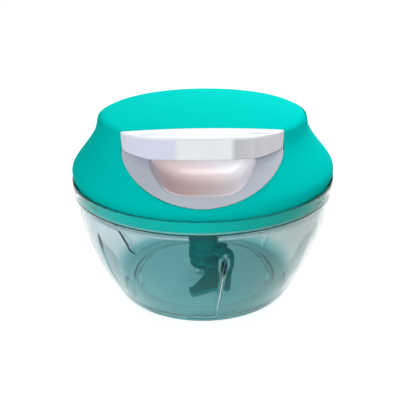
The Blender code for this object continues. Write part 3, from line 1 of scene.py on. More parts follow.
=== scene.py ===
# Looks for the manual food chopper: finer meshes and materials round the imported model.
# Lengths are in metres. +Z is up and the pull handle faces -Y.

import math

import bmesh
import bpy
from mathutils import Matrix, Vector


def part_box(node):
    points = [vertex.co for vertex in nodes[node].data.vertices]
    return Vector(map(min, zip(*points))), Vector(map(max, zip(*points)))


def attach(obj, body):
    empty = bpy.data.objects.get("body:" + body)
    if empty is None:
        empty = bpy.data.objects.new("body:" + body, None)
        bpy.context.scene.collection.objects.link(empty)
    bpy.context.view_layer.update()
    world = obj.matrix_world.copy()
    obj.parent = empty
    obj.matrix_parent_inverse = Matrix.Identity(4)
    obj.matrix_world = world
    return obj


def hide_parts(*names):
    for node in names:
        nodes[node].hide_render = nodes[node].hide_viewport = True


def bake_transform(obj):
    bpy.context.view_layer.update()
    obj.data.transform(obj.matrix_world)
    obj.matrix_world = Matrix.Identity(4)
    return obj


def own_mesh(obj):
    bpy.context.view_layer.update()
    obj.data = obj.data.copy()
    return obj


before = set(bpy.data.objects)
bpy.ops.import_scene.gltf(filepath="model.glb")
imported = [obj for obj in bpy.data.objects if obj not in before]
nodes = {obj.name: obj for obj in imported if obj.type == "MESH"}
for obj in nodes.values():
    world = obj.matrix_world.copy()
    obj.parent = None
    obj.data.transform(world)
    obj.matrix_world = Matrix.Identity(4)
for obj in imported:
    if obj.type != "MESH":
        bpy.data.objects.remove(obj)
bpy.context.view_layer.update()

# Camera, as fitted to the photograph
CAMERA_DISTANCE = 0.2815
CAMERA_HEIGHT = 0.1642
CAMERA_LENS = 53.02
CAMERA_SENSOR = 36.0
CAMERA_PITCH = math.radians(23.0)
CAMERA_ROLL = math.radians(-0.762)
CAMERA_YAW = math.radians(-0.312)

# Fineness of the meshes
WIDE_COLUMNS = 144
SMALL_COLUMNS = 64
TUBE_SIDES = 12
COIL_STEPS = 36
SPRING_STEPS = 48
FILLET_STEPS = 6
CURVE_STEPS = 5
OUTLINE_STEPS = 48
SOFTEN_DEPTH = 8
SMOOTH_ROUNDS = 4
OVERRUN = 0.002
TOUCH_GAP = 0.0003

# Bowl
FOOT_RADIUS = 0.0438
FOOT_EDGE = 0.0014
FOOT_STEP = 0.0009
FOOT_LIFT = 0.00005
RING_LINE_RADIUS = 0.0384
RING_LINE_WIDTH = 0.0010
RING_LINE_PITCH = 0.0030
FLOOR_TOP = 0.0042
FLOOR_FILLET = 0.0045
BOWL_WALL = 0.0024
SHOULDER_RADIUS = 0.0640
SHOULDER_HEIGHT = 0.0545
COLLAR_RADIUS = 0.0650
COLLAR_BORE = 0.0635
COLLAR_FOOT = 0.0553
LEDGE_HEIGHT = 0.0555
RIM_HEIGHT = 0.0624
RIM_EDGE = 0.0004
BOWL_SIDE_SHARES = (
    (0.0, 0.0), (0.027, 0.094), (0.09, 0.193), (0.181, 0.332), (0.289, 0.480),
    (0.434, 0.653), (0.597, 0.802), (0.778, 0.926), (1.0, 1.0),
)
PIN_BORE = 0.0028
BOSS_RADIUS = 0.0050
BOSS_TOP = 0.0068
BOSS_FOOT = 0.0034

# Fins inside the bowl: share of the depth at shares of the half width
FIN_COUNT = 6
FIN_FIRST_ANGLE = math.radians(-82.5)
FIN_HALF_WIDTH = 0.0009
FIN_DEPTH = 0.0050
FIN_TOP = 0.0435
FIN_TWIST = math.radians(2.2)
FIN_SECTION_SHARES = (
    (-1.35, 0.0), (-1.05, 0.10), (-0.95, 0.80), (-0.6, 0.97), (0.0, 1.0),
    (0.6, 0.97), (0.95, 0.80), (1.05, 0.10), (1.35, 0.0),
)

# Lugs in the collar
LUG_COUNT = 3
LUG_FIRST_ANGLE = math.radians(-34.0)
LUG_HALF_WIDTH = 0.0030
LUG_DEPTH = 0.0010
LUG_FOOT = 0.0587
LUG_TOP = 0.0603
LUG_SECTION_SHARES = ((-1.05, 0.0), (-1.0, 1.0), (1.0, 1.0), (1.05, 0.0))
LUG_BEVEL = 0.00015

# Lid cover
LID_TOP = 0.0928
LID_TOP_RADIUS = 0.0500
LID_WIDEST_RADIUS = 0.0646
LID_TOP_FILLET = 0.0034
LID_WALL = 0.0022
LID_TOP_WALL = 0.0020
FLANGE_HEIGHT = 0.0627
SKIRT_RADIUS = 0.0632
SKIRT_BORE = 0.0610
SKIRT_FOOT = 0.0569
SKIRT_TOP = 0.0650
LID_SIDE_SHARES = (
    (0.0, 0.945), (0.05, 0.985), (0.11, 1.0), (0.18, 0.975), (0.243, 0.904), (0.326, 0.780),
    (0.409, 0.637), (0.492, 0.497), (0.575, 0.363), (0.658, 0.246), (0.741, 0.151),
    (0.824, 0.092), (0.907, 0.055), (0.95, 0.03),
)
LOCK_DEGREES = 15.0
SLOT_GAP = 0.0004
POST_RADIUS = 0.0060
POST_BORE = 0.0033
POST_FOOT = 0.0770
POST_BORE_TOP = 0.0900
SCREW_POST_RADIUS = 0.0034
SCREW_POST_TOP = 0.0913
SCREW_CIRCLE = 0.0460
SCREW_ANGLES = (-20.0, 45.0, 135.0, 200.0)
POCKET_BEAD = 0.00035

# Pull handle
HANDLE_HALF_WIDTH = 0.0350
HANDLE_STRAIGHT_FOOT = 0.0843
HANDLE_DROP = 0.0165
HANDLE_ROUND_SHARE = 0.62
HANDLE_BACK = 0.0333
HANDLE_BACK_SAG = 0.0042
HANDLE_CORNER = 0.0375
HANDLE_FRONT = 0.0485
LIP_FOOT = 0.0832
LIP_END_START = 0.0215
LIP_END_RISE = 0.0026
FLANGE_TOP = 0.0392
FLANGE_FOOT = 0.0642
HANDLE_WALL = 0.0018
LIP_SHARES = (
    (0.93, 0.33), (0.80, 0.61), (0.63, 0.845), (0.33, 0.975), (0.0, 1.0),
)
HOLLOW_HALF_WIDTH = 0.0236
HOLLOW_HALF_DEPTH = 0.0125
HOLLOW_RISE = 0.0048
HOLLOW_DROP = 0.0110
HOLLOW_CENTRE_DEPTH = 0.0505
HOLLOW_CENTRE = 0.0814
HOLLOW_ROUND_POWER = 4.0
HOLLOW_TAPER_SHARE = 0.32
HOLLOW_WALL_WIDTH = 0.0020
WALL_BLUR = 0.0008
HOLLOW_SIDES = 64
DIMPLE_SIDES = 32
DIMPLE_HALF_WIDTH = 0.0045
DIMPLE_HALF_DEPTH = 0.0017
DIMPLE_DEPTH = 0.0016
DIMPLE_OFFSET = 0.0240
DIMPLE_SETBACK = 0.0412
SLIDE_GAP = 0.0002
POCKET_WALL = 0.0018
BEAD_BOSS_HALF_WIDTH = 0.0044
BEAD_BOSS_BACK = 0.0413
BEAD_BOSS_DROP = 0.0094
BEAD_SEAT = 0.0353
BEAD_CENTRE = 0.03725
BEAD_ROOM = 0.0022

# Cord
CORD_RADIUS = 0.0008
CORD_HEIGHT = 0.0865
WINDING_RADIUS = 0.0191
CORD_PITCH = 0.0021
CORD_TURNS = 5
CORD_ROOM = 0.0013
CLUTCH_WIRE = 0.0004
CLUTCH_TURNS = 2
FIRST_DROP = 0.0018
DROP_TURNS = 1 / 3
GUIDE_BACK = -0.02985
GUIDE_BORE = 0.0030
BEAD_FRONT = -0.03555
DRUM_STEPS = 8
LEAD_STEPS = 12

# Blade unit
HOLDER_RADIUS = 0.0075
HOLDER_EDGE = 0.0014
HOLDER_FOOT = 0.0071
HOLDER_TOP = 0.0535
HEAD_TOP = 0.0577
HEAD_CORE_RADIUS = 0.0030
HOLDER_BORE = 0.0028
HOLDER_BORE_TOP = 0.0346
ROOT_LOBE_RADIUS = 0.0040
ROOT_LOBE_REACH = 0.0090
ROOT_LOBE_HALF_HEIGHT = 0.0035
DOG_COUNT = 3
DOG_WIDTH = 0.0026
DOG_REACH = 0.0063
DOG_FOOT = 0.0532
GROOVE_CORE = 0.0052
LOWER_ARMS = 2
UPPER_ARMS = 1
LOWER_ROOT_ANGLE = math.radians(-64.0)
UPPER_ROOT_ANGLE = math.radians(-10.0)
BLADE_THICKNESS = 0.0018
GRIND_WIDTH = 0.0016
GRIND_EDGE = 0.0003
LOWER_BLADE_HEIGHT = 0.0105
UPPER_BLADE_HEIGHT = 0.0160
RING_INNER_RADIUS = 0.0055
RING_OUTER_RADIUS = 0.0072
RING_STEPS = 48
LOWER_BLADE_REACH = 0.0364
LOWER_BLADE_WIDTH = 0.0150
UPPER_BLADE_REACH = 0.0402
UPPER_BLADE_WIDTH = 0.0160
LOWER_CUT_COUNT = 6
LOWER_ARM_SHARES = (
    (0.14, 0.231), (0.06, 0.357), (-0.03, 0.456), (-0.19, 0.596), (-0.35, 0.727), (-0.485, 0.829),
    (-0.44, 0.917), (-0.335, 0.994), (0.0, 0.928), (0.29, 0.865), (0.445, 0.823), (0.53, 0.480),
    (0.54, 0.135),
)
UPPER_CUT_COUNT = 8
UPPER_ARM_SHARES = (
    (0.43, 0.13), (0.65, 0.18), (0.80, 0.235), (0.83, 0.335), (0.79, 0.47), (0.68, 0.587),
    (0.60, 0.72), (0.5625, 0.853), (0.58, 0.968), (0.6875, 1.0), (0.795, 0.925), (0.825, 0.73),
    (0.89, 0.547), (0.975, 0.398), (1.0, 0.249), (0.9625, 0.09), (0.8125, -0.01), (0.5375, -0.03),
)

# Seal and lid base
SEAL_FOOT = 0.0558
SEAL_LIP = 0.0008
SEAL_HEIGHT = 0.0035
SEAL_RADIUS = 0.0607
SEAL_BORE = 0.0590
SEAL_SKIRT = 0.0629
PLATE_TOP = 0.0620
PLATE_FOOT = 0.0600
BASE_RIM = 0.0587
BASE_RIM_BORE = 0.0569
BASE_LIP = 0.0604
BASE_FOOT = 0.0545
BEARING_BORE = 0.0063
BEARING_RADIUS = 0.0083
BEARING_TOP = 0.0631

# Recoil spring, from the post out to the drum
SPRING_INNER = 0.00655
SPRING_OUTER = 0.01595
SPRING_STRIP = 0.0005
SPRING_FOOT = 0.0773
SPRING_HEIGHT = 0.0080
SPRING_TURNS = 6

# Colours, linear
TEAL = (0.0, 0.58, 0.52)
TEAL_GLOSS = (0.0, 1.0, 0.95)
DARK_TEAL = (0.0, 0.225, 0.205)
BLADE_TEAL = (0.0, 0.27, 0.255)
SILICONE = (0.30, 0.70, 0.66)
# The bowl's floor is darker, for its thicker plastic and as painted shade from the lid.
CLEAR_FLOOR_DEPTH_AND_SHADE = (0.24, 0.64, 0.66)
# Painted shade on the slopes of the foot's ring steps.
PAINTED_RING_SHADE = (0.17, 0.46, 0.47)
# Painted shade in a band just under the collar.
PAINTED_NECK_SHADE = (0.20, 0.34, 0.35)
CLEAR_WALL = (0.72, 0.86, 0.88)
# Painted shade of the lid, darker high in the bowl.
CLEAR_HIGH_PAINTED_SHADE = (0.66, 0.72, 0.745)
CLEAR_RIM = (0.70, 0.84, 0.84)
# Painted shade, greyer towards +X.
PAINTED_SIDE_SHADE = (0.76, 0.73, 0.69)
# Painted shadow lines at the shoulder and the rim's edge.
PAINTED_EDGE_SHADOW = (0.0, 0.16, 0.155)
CLEAR_GLOSS = (0.15, 0.6, 0.6)
# Painted shade: soft darker rings in the bowl's floor, as radius and darkness.
PAINTED_SOFT_RING_SHADES = ((0.0367, 0.74), (0.0412, 0.83))
SOFT_RING_WIDTH = 0.0022
EDGE_LINE = 0.0002
NECK_DROP = 0.0035
HIGH_LEVEL = 0.0460
HANDLE_WHITE = (0.90, 0.92, 0.99)
# Painted shade on the handle's slanted flange, under the lip.
HANDLE_SHADE = (0.49, 0.53, 0.60)
# Painted warm reflection in the finger hollow.
PAINTED_WARM_REFLECTION = (0.69, 0.51, 0.50)
PAINTED_WARM_REFLECTION_LIGHT = (0.88, 0.76, 0.76)
# Painted shade on the hollow's -X wall and painted light on its +X wall.
PAINTED_WALL_SHADE = (0.66, 0.62, 0.66)
PAINTED_WALL_LIGHT = (0.88, 0.84, 0.92)
# Painted highlight along the hollow's sill.
PAINTED_SILL_HIGHLIGHT = (1.0, 0.95, 0.92)
# Painted reflections in bands across the lip's front, and painted light at its +X end.
PAINTED_LIP_LEFT_REFLECTION = (0.76, 0.80, 0.95)
PAINTED_LIP_MID_REFLECTION = (0.93, 0.97, 1.0)
PAINTED_LIP_RIGHT_REFLECTION = (0.60, 0.60, 0.62)
PAINTED_LIP_END_LIGHT = (0.84, 0.82, 0.84)
LIP_LEFT_REFLECTION_EDGE = 0.33
LIP_RIGHT_REFLECTION_EDGE = 0.668
LIP_BLUR = 0.03
FLANGE_EDGE = 0.0006
# Where the painted warm reflection in the hollow fades to white.
WARM_REFLECTION_DIRECTION = (0.34, 0.0, 0.94)
WARM_REFLECTION_START = 0.063
WARM_REFLECTION_END = 0.076
PALE = (0.82, 0.85, 0.84)
STEEL = (0.52, 0.52, 0.53)
WHITE = (1.0, 1.0, 1.0)

# Skins of the materials, their scales in waves per metre
CLOUD_SCALE = 45.0
WHITE_CLOUD_SCALE = 60.0
WHITE_CLOUD = 0.97
GLOSS_SCALE = 160.0
GLOSS_SPREAD = 0.2
SKIN_SCALE = 1500.0
SKIN_DETAIL = 2.0
SKIN_DEPTH = 0.0001
SKIN_STRENGTH = 0.12
FAINT_STRENGTH = 0.08
HANDLE_ROUGHNESS = 0.12
WARM_REFLECTION_SHARE = 0.55
CLEAR_ROUGHNESS = (0.015, 0.05)
CLEAR_GLOSS_SCALE = 120.0
CLEAR_IOR = 1.33
CLEAR_GLOSS_LEVEL = 0.12
FLOW_SCALE = 70.0
STEEL_ROUGHNESS = 0.28
STEEL_SPREAD = 0.12
STEEL_SCALE = 900.0
STEEL_GLOSS_SCALE = 400.0
STEEL_GLOSS_SPREAD = 0.3
STEEL_MARK_SCALE = 2500.0
STEEL_MARK_STRENGTH = 0.1
BRAID_SCALE = 700.0
BRAID_DISTORTION = 1.5
BRAID_SPREAD = 0.2
BRAID_ROUGHNESS = 0.85
BRAID_STRENGTH = 0.5

# Moulded plastics: colour, roughness, spread of shade, level and colour of gloss
MOULDED = {
    "teal_plastic": (TEAL, 0.40, 0.008, 0.0005, TEAL_GLOSS),
    "dark_teal_plastic": (DARK_TEAL, 0.40, 0.03, 0.01, TEAL_GLOSS),
    # The blades are dark teal all over.
    "blade_dark_teal": (BLADE_TEAL, 0.30, 0.03, 0.02, TEAL_GLOSS),
    "inner_plastic": (PALE, 0.40, 0.03, 0.5, WHITE),
    "silicone": (SILICONE, 0.50, 0.03, 0.5, WHITE),
}

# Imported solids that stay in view
STEEL_NODES = (
    "cover_screw_1", "cover_screw_2", "cover_screw_3", "cover_screw_4", "spindle_pin", "spool_axle",
    "axle_washer", "axle_clip", "cord_guide", "socket_ring",
)

# Light
SKY_COLOUR = (0.95, 0.98, 1.0)
SKY_STRENGTH = 0.38
FLOOR_HALF_WIDTH = 4.0
FLOOR_BOUNCE = 0.30
FLOOR_SHADE = 0.60
FLOOR_LIFT = 0.78
FLOOR_GLASS_LIFT = 0.55
FLOOR_ROUGHNESS = 0.9
KEY_PLACE = (0.17, 0.18, 0.38)
KEY_POWER = 1.5
KEY_SIZE = 0.25
FILL_PLACE = (-0.25, -1.0, 0.22)
FILL_STRENGTH = 2.12
FILL_SPREAD = math.radians(50.0)
SEEN_RAYS = ("Is Camera Ray", "Is Glossy Ray", "Is Transmission Ray")


# Camera, floor and light

def linked(name, data):
    """A new object, linked to the scene."""
    obj = bpy.data.objects.new(name, data)
    bpy.context.scene.collection.objects.link(obj)
    return obj


def make_camera():
    camera = linked("camera", bpy.data.cameras.new("camera"))
    camera.data.lens = CAMERA_LENS
    camera.data.sensor_width = CAMERA_SENSOR
    turn = (
        Matrix.Rotation(-CAMERA_YAW, 4, "Z") @ Matrix.Rotation(math.pi / 2 - CAMERA_PITCH, 4, "X")
        @ Matrix.Rotation(CAMERA_ROLL, 4, "Z"))
    camera.matrix_world = Matrix.Translation((0.0, -CAMERA_DISTANCE, CAMERA_HEIGHT)) @ turn
    bpy.context.scene.camera = camera


def seen_by(tree, *outputs):
    """1 for these kinds of ray, and 0 for light that falls on a surface."""
    path = tree.nodes.new("ShaderNodeLightPath")
    either = path.outputs[outputs[0]]
    for output in outputs[1:]:
        either = node(tree, "Math", {0: either, 1: path.outputs[output]}, "MAXIMUM").outputs[0]
    return either


def spread_over(tree, share, low, high):
    """A share of 0 to 1 as a value from low to high."""
    return node(tree, "MapRange", {"Value": share, "To Min": low, "To Max": high}).outputs[0]


def make_world():
    """White where it is seen, and a softer, cooler light on the object."""
    world = bpy.data.worlds.new("studio")
    bpy.context.scene.world = world
    world.use_nodes = True
    tree = world.node_tree
    light = fill(tree, tree.nodes["Background"], {"Color": SKY_COLOUR, "Strength": SKY_STRENGTH})
    white = node(tree, "Background", {"Color": WHITE})
    mix = node(tree, "MixShader", {0: seen_by(tree, *SEEN_RAYS), 1: light.outputs[0], 2: white.outputs[0]})
    tree.links.new(mix.outputs[0], tree.nodes["World Output"].inputs["Surface"])


def make_floor():
    """White paper, lifted to white where it is seen, that keeps the object's shadow."""
    shape = bmesh.new()
    bmesh.ops.create_grid(shape, x_segments=8, y_segments=8, size=FLOOR_HALF_WIDTH)
    floor = object_from(shape, "floor")
    material, tree, shader = new_material("floor_paper")
    seen = seen_by(tree, *SEEN_RAYS)
    level = spread_over(tree, seen_by(tree, "Is Transmission Ray"), FLOOR_LIFT, FLOOR_GLASS_LIFT)
    fill(tree, shader, {
        "Base Color": spread_over(tree, seen, FLOOR_BOUNCE, FLOOR_SHADE),
        "Roughness": FLOOR_ROUGHNESS, "Specular IOR Level": 0.0, "Emission Color": WHITE,
        "Emission Strength": node(tree, "Math", {0: seen, 1: level}, "MULTIPLY").outputs[0]})
    floor.data.materials.append(material)


def make_lamp(kind, name, place, energy, aim):
    light = bpy.data.lights.new(name, kind)
    light.energy = energy
    lamp = linked(name, light)
    lamp.location = place
    lamp.rotation_euler = (Vector(place) - Vector(aim)).to_track_quat("Z", "Y").to_euler()
    return lamp


def make_lights():
    """A soft square lamp from behind and a broad, even one from the front."""
    key = make_lamp("AREA", "key_light", KEY_PLACE, KEY_POWER, (0.0, 0.0, LID_TOP / 2))
    key.data.size = KEY_SIZE
    key.visible_glossy = False
    key.visible_transmission = False
    sun = make_lamp("SUN", "fill_light", FILL_PLACE, FILL_STRENGTH, (0.0, 0.0, 0.0))
    sun.data.angle = FILL_SPREAD


# Materials

def new_material(name):
    material = bpy.data.materials.new(name)
    material.use_nodes = True
    return material, material.node_tree, material.node_tree.nodes["Principled BSDF"]


def fill(tree, made, inputs):
    """Set inputs of a node, each to a number, a colour or another node's output."""
    for key, value in inputs.items():
        socket = made.inputs[key]
        if isinstance(value, bpy.types.NodeSocket):
            tree.links.new(value, socket)
        elif socket.type == "RGBA":
            socket.default_value = (*value, 1.0)
        else:
            socket.default_value = value
    return made


def node(tree, kind, inputs, operation=None):
    made = tree.nodes.new("ShaderNode" + kind)
    if operation:
        made.operation = operation
    return fill(tree, made, inputs)


def object_place(tree):
    return tree.nodes.new("ShaderNodeTexCoord").outputs["Object"]


def noise(tree, scale, detail=3.0):
    """Noise that follows the object, at a scale in waves per metre."""
    made = node(tree, "TexNoise", {"Vector": object_place(tree), "Scale": scale, "Detail": detail})
    return made.outputs["Fac"]


def ramp(tree, value, stops):
    """A colour or grey ramp of (position, colour) stops."""
    made = node(tree, "ValToRGB", {"Fac": value})
    elements = made.color_ramp.elements
    while len(elements) < len(stops):
        elements.new(0.5)
    for element, (position, colour) in zip(elements, stops):
        element.position = position
        element.color = (*colour, 1.0)
    return made.outputs["Color"]


def mottled(tree, scale, first, second):
    """Soft patches of two colours."""
    return ramp(tree, noise(tree, scale), [(0.3, first), (0.7, second)])


def shades(colour, spread):
    """A darker and a lighter shade of a colour."""
    return [
        tuple(min(1.0, channel * share) for channel in colour) for share in (1.0 - spread, 1.0 + spread)]


def grey(level):
    return (level, level, level)


def bump(tree, shader, height, strength, depth):
    made = node(tree, "Bump", {"Height": height, "Strength": strength, "Distance": depth})
    tree.links.new(made.outputs["Normal"], shader.inputs["Normal"])


def uneven_gloss(tree, roughness, scale=GLOSS_SCALE, spread=GLOSS_SPREAD):
    return mottled(tree, scale, *shades(grey(roughness), spread))


def moulded(name, colour, roughness, spread, gloss_level, gloss_colour):
    """Moulded plastic: faint clouds of shade, uneven gloss and a fine skin."""
    material, tree, shader = new_material(name)
    fill(tree, shader, {
        "Base Color": mottled(tree, CLOUD_SCALE, *shades(colour, spread)),
        "Roughness": uneven_gloss(tree, roughness),
        "Specular IOR Level": gloss_level, "Specular Tint": gloss_colour})
    bump(tree, shader, noise(tree, SKIN_SCALE, SKIN_DETAIL), SKIN_STRENGTH, SKIN_DEPTH)
    return material


def along(tree, direction, low, high):
    """0 to 1 between two distances along a direction through the object."""
    reach = node(tree, "VectorMath", {0: object_place(tree), 1: direction}, "DOT_PRODUCT")
    return node(tree, "MapRange", {
        "Value": reach.outputs["Value"], "From Min": low, "From Max": high}).outputs[0]


def from_axis(tree, reach):
    """0 to 1 between the upright axis and a reach from it."""
    flat = node(tree, "VectorMath", {0: object_place(tree), 1: (1.0, 1.0, 0.0)}, "MULTIPLY")
    length = node(tree, "VectorMath", {0: flat.outputs[0]}, "LENGTH")
    return node(tree, "MapRange", {"Value": length.outputs["Value"], "From Max": reach}).outputs[0]


def blended(tree, share, first, second, kind="MIX"):
    """Mix two colours, each a socket or a plain colour."""
    made = tree.nodes.new("ShaderNodeMix")
    made.data_type = "RGBA"
    made.blend_type = kind
    return fill(tree, made, {"Factor": share, 6: first, 7: second}).outputs[2]


def multiplied(tree, first, second):
    return blended(tree, 1.0, first, second, "MULTIPLY")


def white_plastic(name):
    """Glossy white with painted light and shade: painted shade on the slanted flange, a painted warm
    reflection, a painted sill highlight and painted shade and light on the walls of the finger hollow, and
    painted reflections across the lip.
    """
    material, tree, shader = new_material(name)
    inward = Vector((0.0, HANDLE_DROP, FLANGE_TOP - FLANGE_FOOT)).normalized()
    face = Vector((0.0, -FLANGE_TOP, HANDLE_STRAIGHT_FOOT)).dot(inward)
    below = along(tree, inward, face - FLANGE_EDGE, face - FLANGE_EDGE / 2)
    edge = along(tree, inward, face + FLANGE_EDGE / 3, face + FLANGE_EDGE)
    inside = along(tree, inward, face + 3 * FLANGE_EDGE, face + 4 * FLANGE_EDGE)
    # Painted warm reflection in the hollow, fading to white upwards and towards +X.
    across = along(tree, WARM_REFLECTION_DIRECTION, WARM_REFLECTION_START, WARM_REFLECTION_END)
    hollow = ramp(
        tree, across, [(0.0, PAINTED_WARM_REFLECTION), (WARM_REFLECTION_SHARE, PAINTED_WARM_REFLECTION_LIGHT), (1.0, HANDLE_WHITE)])
    # Painted highlight on the hollow's sill.
    hollow = blended(tree, inside, PAINTED_SILL_HIGHLIGHT, hollow)
    # Painted shade on the hollow's -X wall and painted light on its +X wall.
    lean = HOLLOW_TAPER_SHARE * HOLLOW_HALF_WIDTH / HOLLOW_DROP
    wall = HOLLOW_HALF_WIDTH - HOLLOW_WALL_WIDTH - lean * HOLLOW_CENTRE
    for side, tint in ((-1.0, PAINTED_WALL_SHADE), (1.0, PAINTED_WALL_LIGHT)):
        outer = along(tree, (side, 0.0, -lean), wall, wall + WALL_BLUR)
        hollow = blended(tree, outer, hollow, tint)
    # Painted shade on the flange.
    flange = blended(tree, edge, HANDLE_SHADE, hollow)
    # Painted reflections in bands across the lip's front.
    width = along(tree, (1.0, 0.0, 0.0), -HANDLE_HALF_WIDTH, HANDLE_HALF_WIDTH)
    lip = ramp(tree, width, [
        (0.0, PAINTED_LIP_LEFT_REFLECTION), (LIP_LEFT_REFLECTION_EDGE, PAINTED_LIP_LEFT_REFLECTION), (LIP_LEFT_REFLECTION_EDGE + LIP_BLUR, PAINTED_LIP_MID_REFLECTION),
        (LIP_RIGHT_REFLECTION_EDGE, PAINTED_LIP_MID_REFLECTION), (LIP_RIGHT_REFLECTION_EDGE + LIP_BLUR, PAINTED_LIP_RIGHT_REFLECTION), (1.0, PAINTED_LIP_END_LIGHT)])
    top = along(tree, (0.0, 0.0, 1.0), LID_TOP - 2 * FLANGE_EDGE, LID_TOP - FLANGE_EDGE)
    colour = blended(tree, below, blended(tree, top, lip, HANDLE_WHITE), flange)
    cloud = mottled(tree, WHITE_CLOUD_SCALE, grey(WHITE_CLOUD), WHITE)
    fill(tree, shader, {
        "Base Color": multiplied(tree, colour, cloud), "Roughness": uneven_gloss(tree, HANDLE_ROUGHNESS)})
    bump(tree, shader, noise(tree, SKIN_SCALE, SKIN_DETAIL), FAINT_STRENGTH, SKIN_DEPTH)
    return material


def clear_plastic(name):
    """Tinted clear plastic with faint flow marks, a floor darker for its thickness and as painted shade,
    painted shade on the foot's ring steps, in soft rings, high up, under the collar and towards +X, and
    painted shadow lines at its edges.
    """
    material, tree, shader = new_material(name)
    # Tint by height: painted shade on the ring steps, in the floor, high up and under the collar, and
    # painted shadow lines at the shoulder and the rim's edge. The floor is also darker for its thickness.
    steps = zip((0.0, 0.2, 0.8, 1.0, 1.2, 1.8, 2.0), (CLEAR_FLOOR_DEPTH_AND_SHADE, PAINTED_RING_SHADE, PAINTED_RING_SHADE) * 3)
    stops = [(share * FOOT_STEP, colour) for share, colour in steps] + [
        (FLOOR_TOP, CLEAR_FLOOR_DEPTH_AND_SHADE), (5 * FLOOR_TOP / 2, CLEAR_WALL), (HIGH_LEVEL, CLEAR_HIGH_PAINTED_SHADE),
        (COLLAR_FOOT - NECK_DROP, CLEAR_HIGH_PAINTED_SHADE), (COLLAR_FOOT - 2 * EDGE_LINE, PAINTED_NECK_SHADE),
        (COLLAR_FOOT - EDGE_LINE, PAINTED_EDGE_SHADOW), (COLLAR_FOOT, PAINTED_EDGE_SHADOW),
        (COLLAR_FOOT + EDGE_LINE, CLEAR_RIM), (RIM_HEIGHT - 2 * EDGE_LINE, CLEAR_RIM),
        (RIM_HEIGHT - EDGE_LINE, PAINTED_EDGE_SHADOW)]
    height = along(tree, (0.0, 0.0, 1.0), 0.0, RIM_HEIGHT)
    tint = ramp(tree, height, [(level / RIM_HEIGHT, colour) for level, colour in stops])
    # Painted shade, greyer towards +X.
    across = along(tree, (1.0, 0.0, 0.0), 0.0, SHOULDER_RADIUS)
    side = ramp(tree, across, [(0.0, grey(1.0)), (1.0, PAINTED_SIDE_SHADE)])
    # Painted shade in soft rings in the bowl's floor.
    bands = [(0.0, grey(1.0))]
    for middle, ring_shade in PAINTED_SOFT_RING_SHADES:
        for edge, shade in ((-1.0, 1.0), (-0.4, ring_shade), (0.4, ring_shade), (1.0, 1.0)):
            bands.append(((middle + edge * SOFT_RING_WIDTH / 2) / FOOT_RADIUS, grey(shade)))
    rings = ramp(tree, from_axis(tree, FOOT_RADIUS), bands)
    fill(tree, shader, {
        "Base Color": multiplied(tree, multiplied(tree, tint, side), rings),
        "Roughness": mottled(tree, CLEAR_GLOSS_SCALE, *map(grey, CLEAR_ROUGHNESS)),
        "Transmission Weight": 1.0, "IOR": CLEAR_IOR,
        "Specular IOR Level": CLEAR_GLOSS_LEVEL, "Specular Tint": CLEAR_GLOSS})
    bump(tree, shader, noise(tree, FLOW_SCALE), FAINT_STRENGTH, 2 * SKIN_DEPTH)
    return material


def steel(name, colour):
    """Turned or stamped steel with fine marks."""
    material, tree, shader = new_material(name)
    fill(tree, shader, {
        "Base Color": mottled(tree, STEEL_SCALE, *shades(colour, STEEL_SPREAD)),
        "Roughness": uneven_gloss(tree, STEEL_ROUGHNESS, STEEL_GLOSS_SCALE, STEEL_GLOSS_SPREAD),
        "Metallic": 1.0})
    bump(tree, shader, noise(tree, STEEL_MARK_SCALE, SKIN_DETAIL), STEEL_MARK_STRENGTH, SKIN_DEPTH / 2)
    return material


def braid(name, colour):
    """Braided cord: strands that cross as two slanted waves."""
    material, tree, shader = new_material(name)
    made = node(tree, "TexWave", {
        "Vector": object_place(tree), "Scale": BRAID_SCALE, "Distortion": BRAID_DISTORTION})
    made.wave_type = "BANDS"
    made.bands_direction = "DIAGONAL"
    wave = made.outputs["Fac"]
    dark, light = shades(colour, BRAID_SPREAD)
    strands = ramp(tree, wave, [(0.2, dark), (0.8, light)])
    fill(tree, shader, {"Base Color": strands, "Roughness": BRAID_ROUGHNESS})
    bump(tree, shader, wave, BRAID_STRENGTH, 2 * SKIN_DEPTH)
    return material


# Meshes

def object_from(shape, name):
    """Turn a bmesh into a linked object."""
    mesh = bpy.data.meshes.new(name)
    shape.to_mesh(mesh)
    shape.free()
    return linked(name, mesh)


def smooth(obj, angle=35.0):
    """Shade smooth, with edges past an angle in degrees kept sharp."""
    obj.data.shade_smooth()
    obj.data.set_sharp_from_angle(angle=math.radians(angle))
    return obj


def through(points):
    """A smooth line through points, as a Catmull-Rom curve."""
    points = [Vector(point) for point in points]
    line = []
    for index in range(len(points) - 1):
        before, start = points[max(index - 1, 0)], points[index]
        end, after = points[index + 1], points[min(index + 2, len(points) - 1)]
        for step in range(CURVE_STEPS):
            t = step / CURVE_STEPS
            line.append(0.5 * (
                2 * start + (end - before) * t + (2 * before - 5 * start + 4 * end - after) * t ** 2
                + (3 * start - before - 3 * end + after) * t ** 3))
    return line + [points[-1]]


def arc(centre, radius, start, end, steps=4):
    """Points of an arc in a profile, from one angle in degrees to another."""
    angles = [math.radians(start + (end - start) * step / steps) for step in range(steps + 1)]
    return [
        (centre[0] + radius * math.cos(angle), centre[1] + radius * math.sin(angle)) for angle in angles]


def circle(centre, radius, sides=SMALL_COLUMNS // 2):
    return arc(centre, radius, 0.0, 360.0, sides)[:-1]


def around(radius, angle, height=0.0):
    """The point at a radius, an angle in radians about Z, and a height."""
    return (radius * math.cos(angle), radius * math.sin(angle), height)


def spaced(count, first=0.0):
    """Angles spaced evenly about Z."""
    return [first + math.tau * index / count for index in range(count)]


def even_columns(count):
    return [(angle, 0.0, 0.0) for angle in spaced(count)]


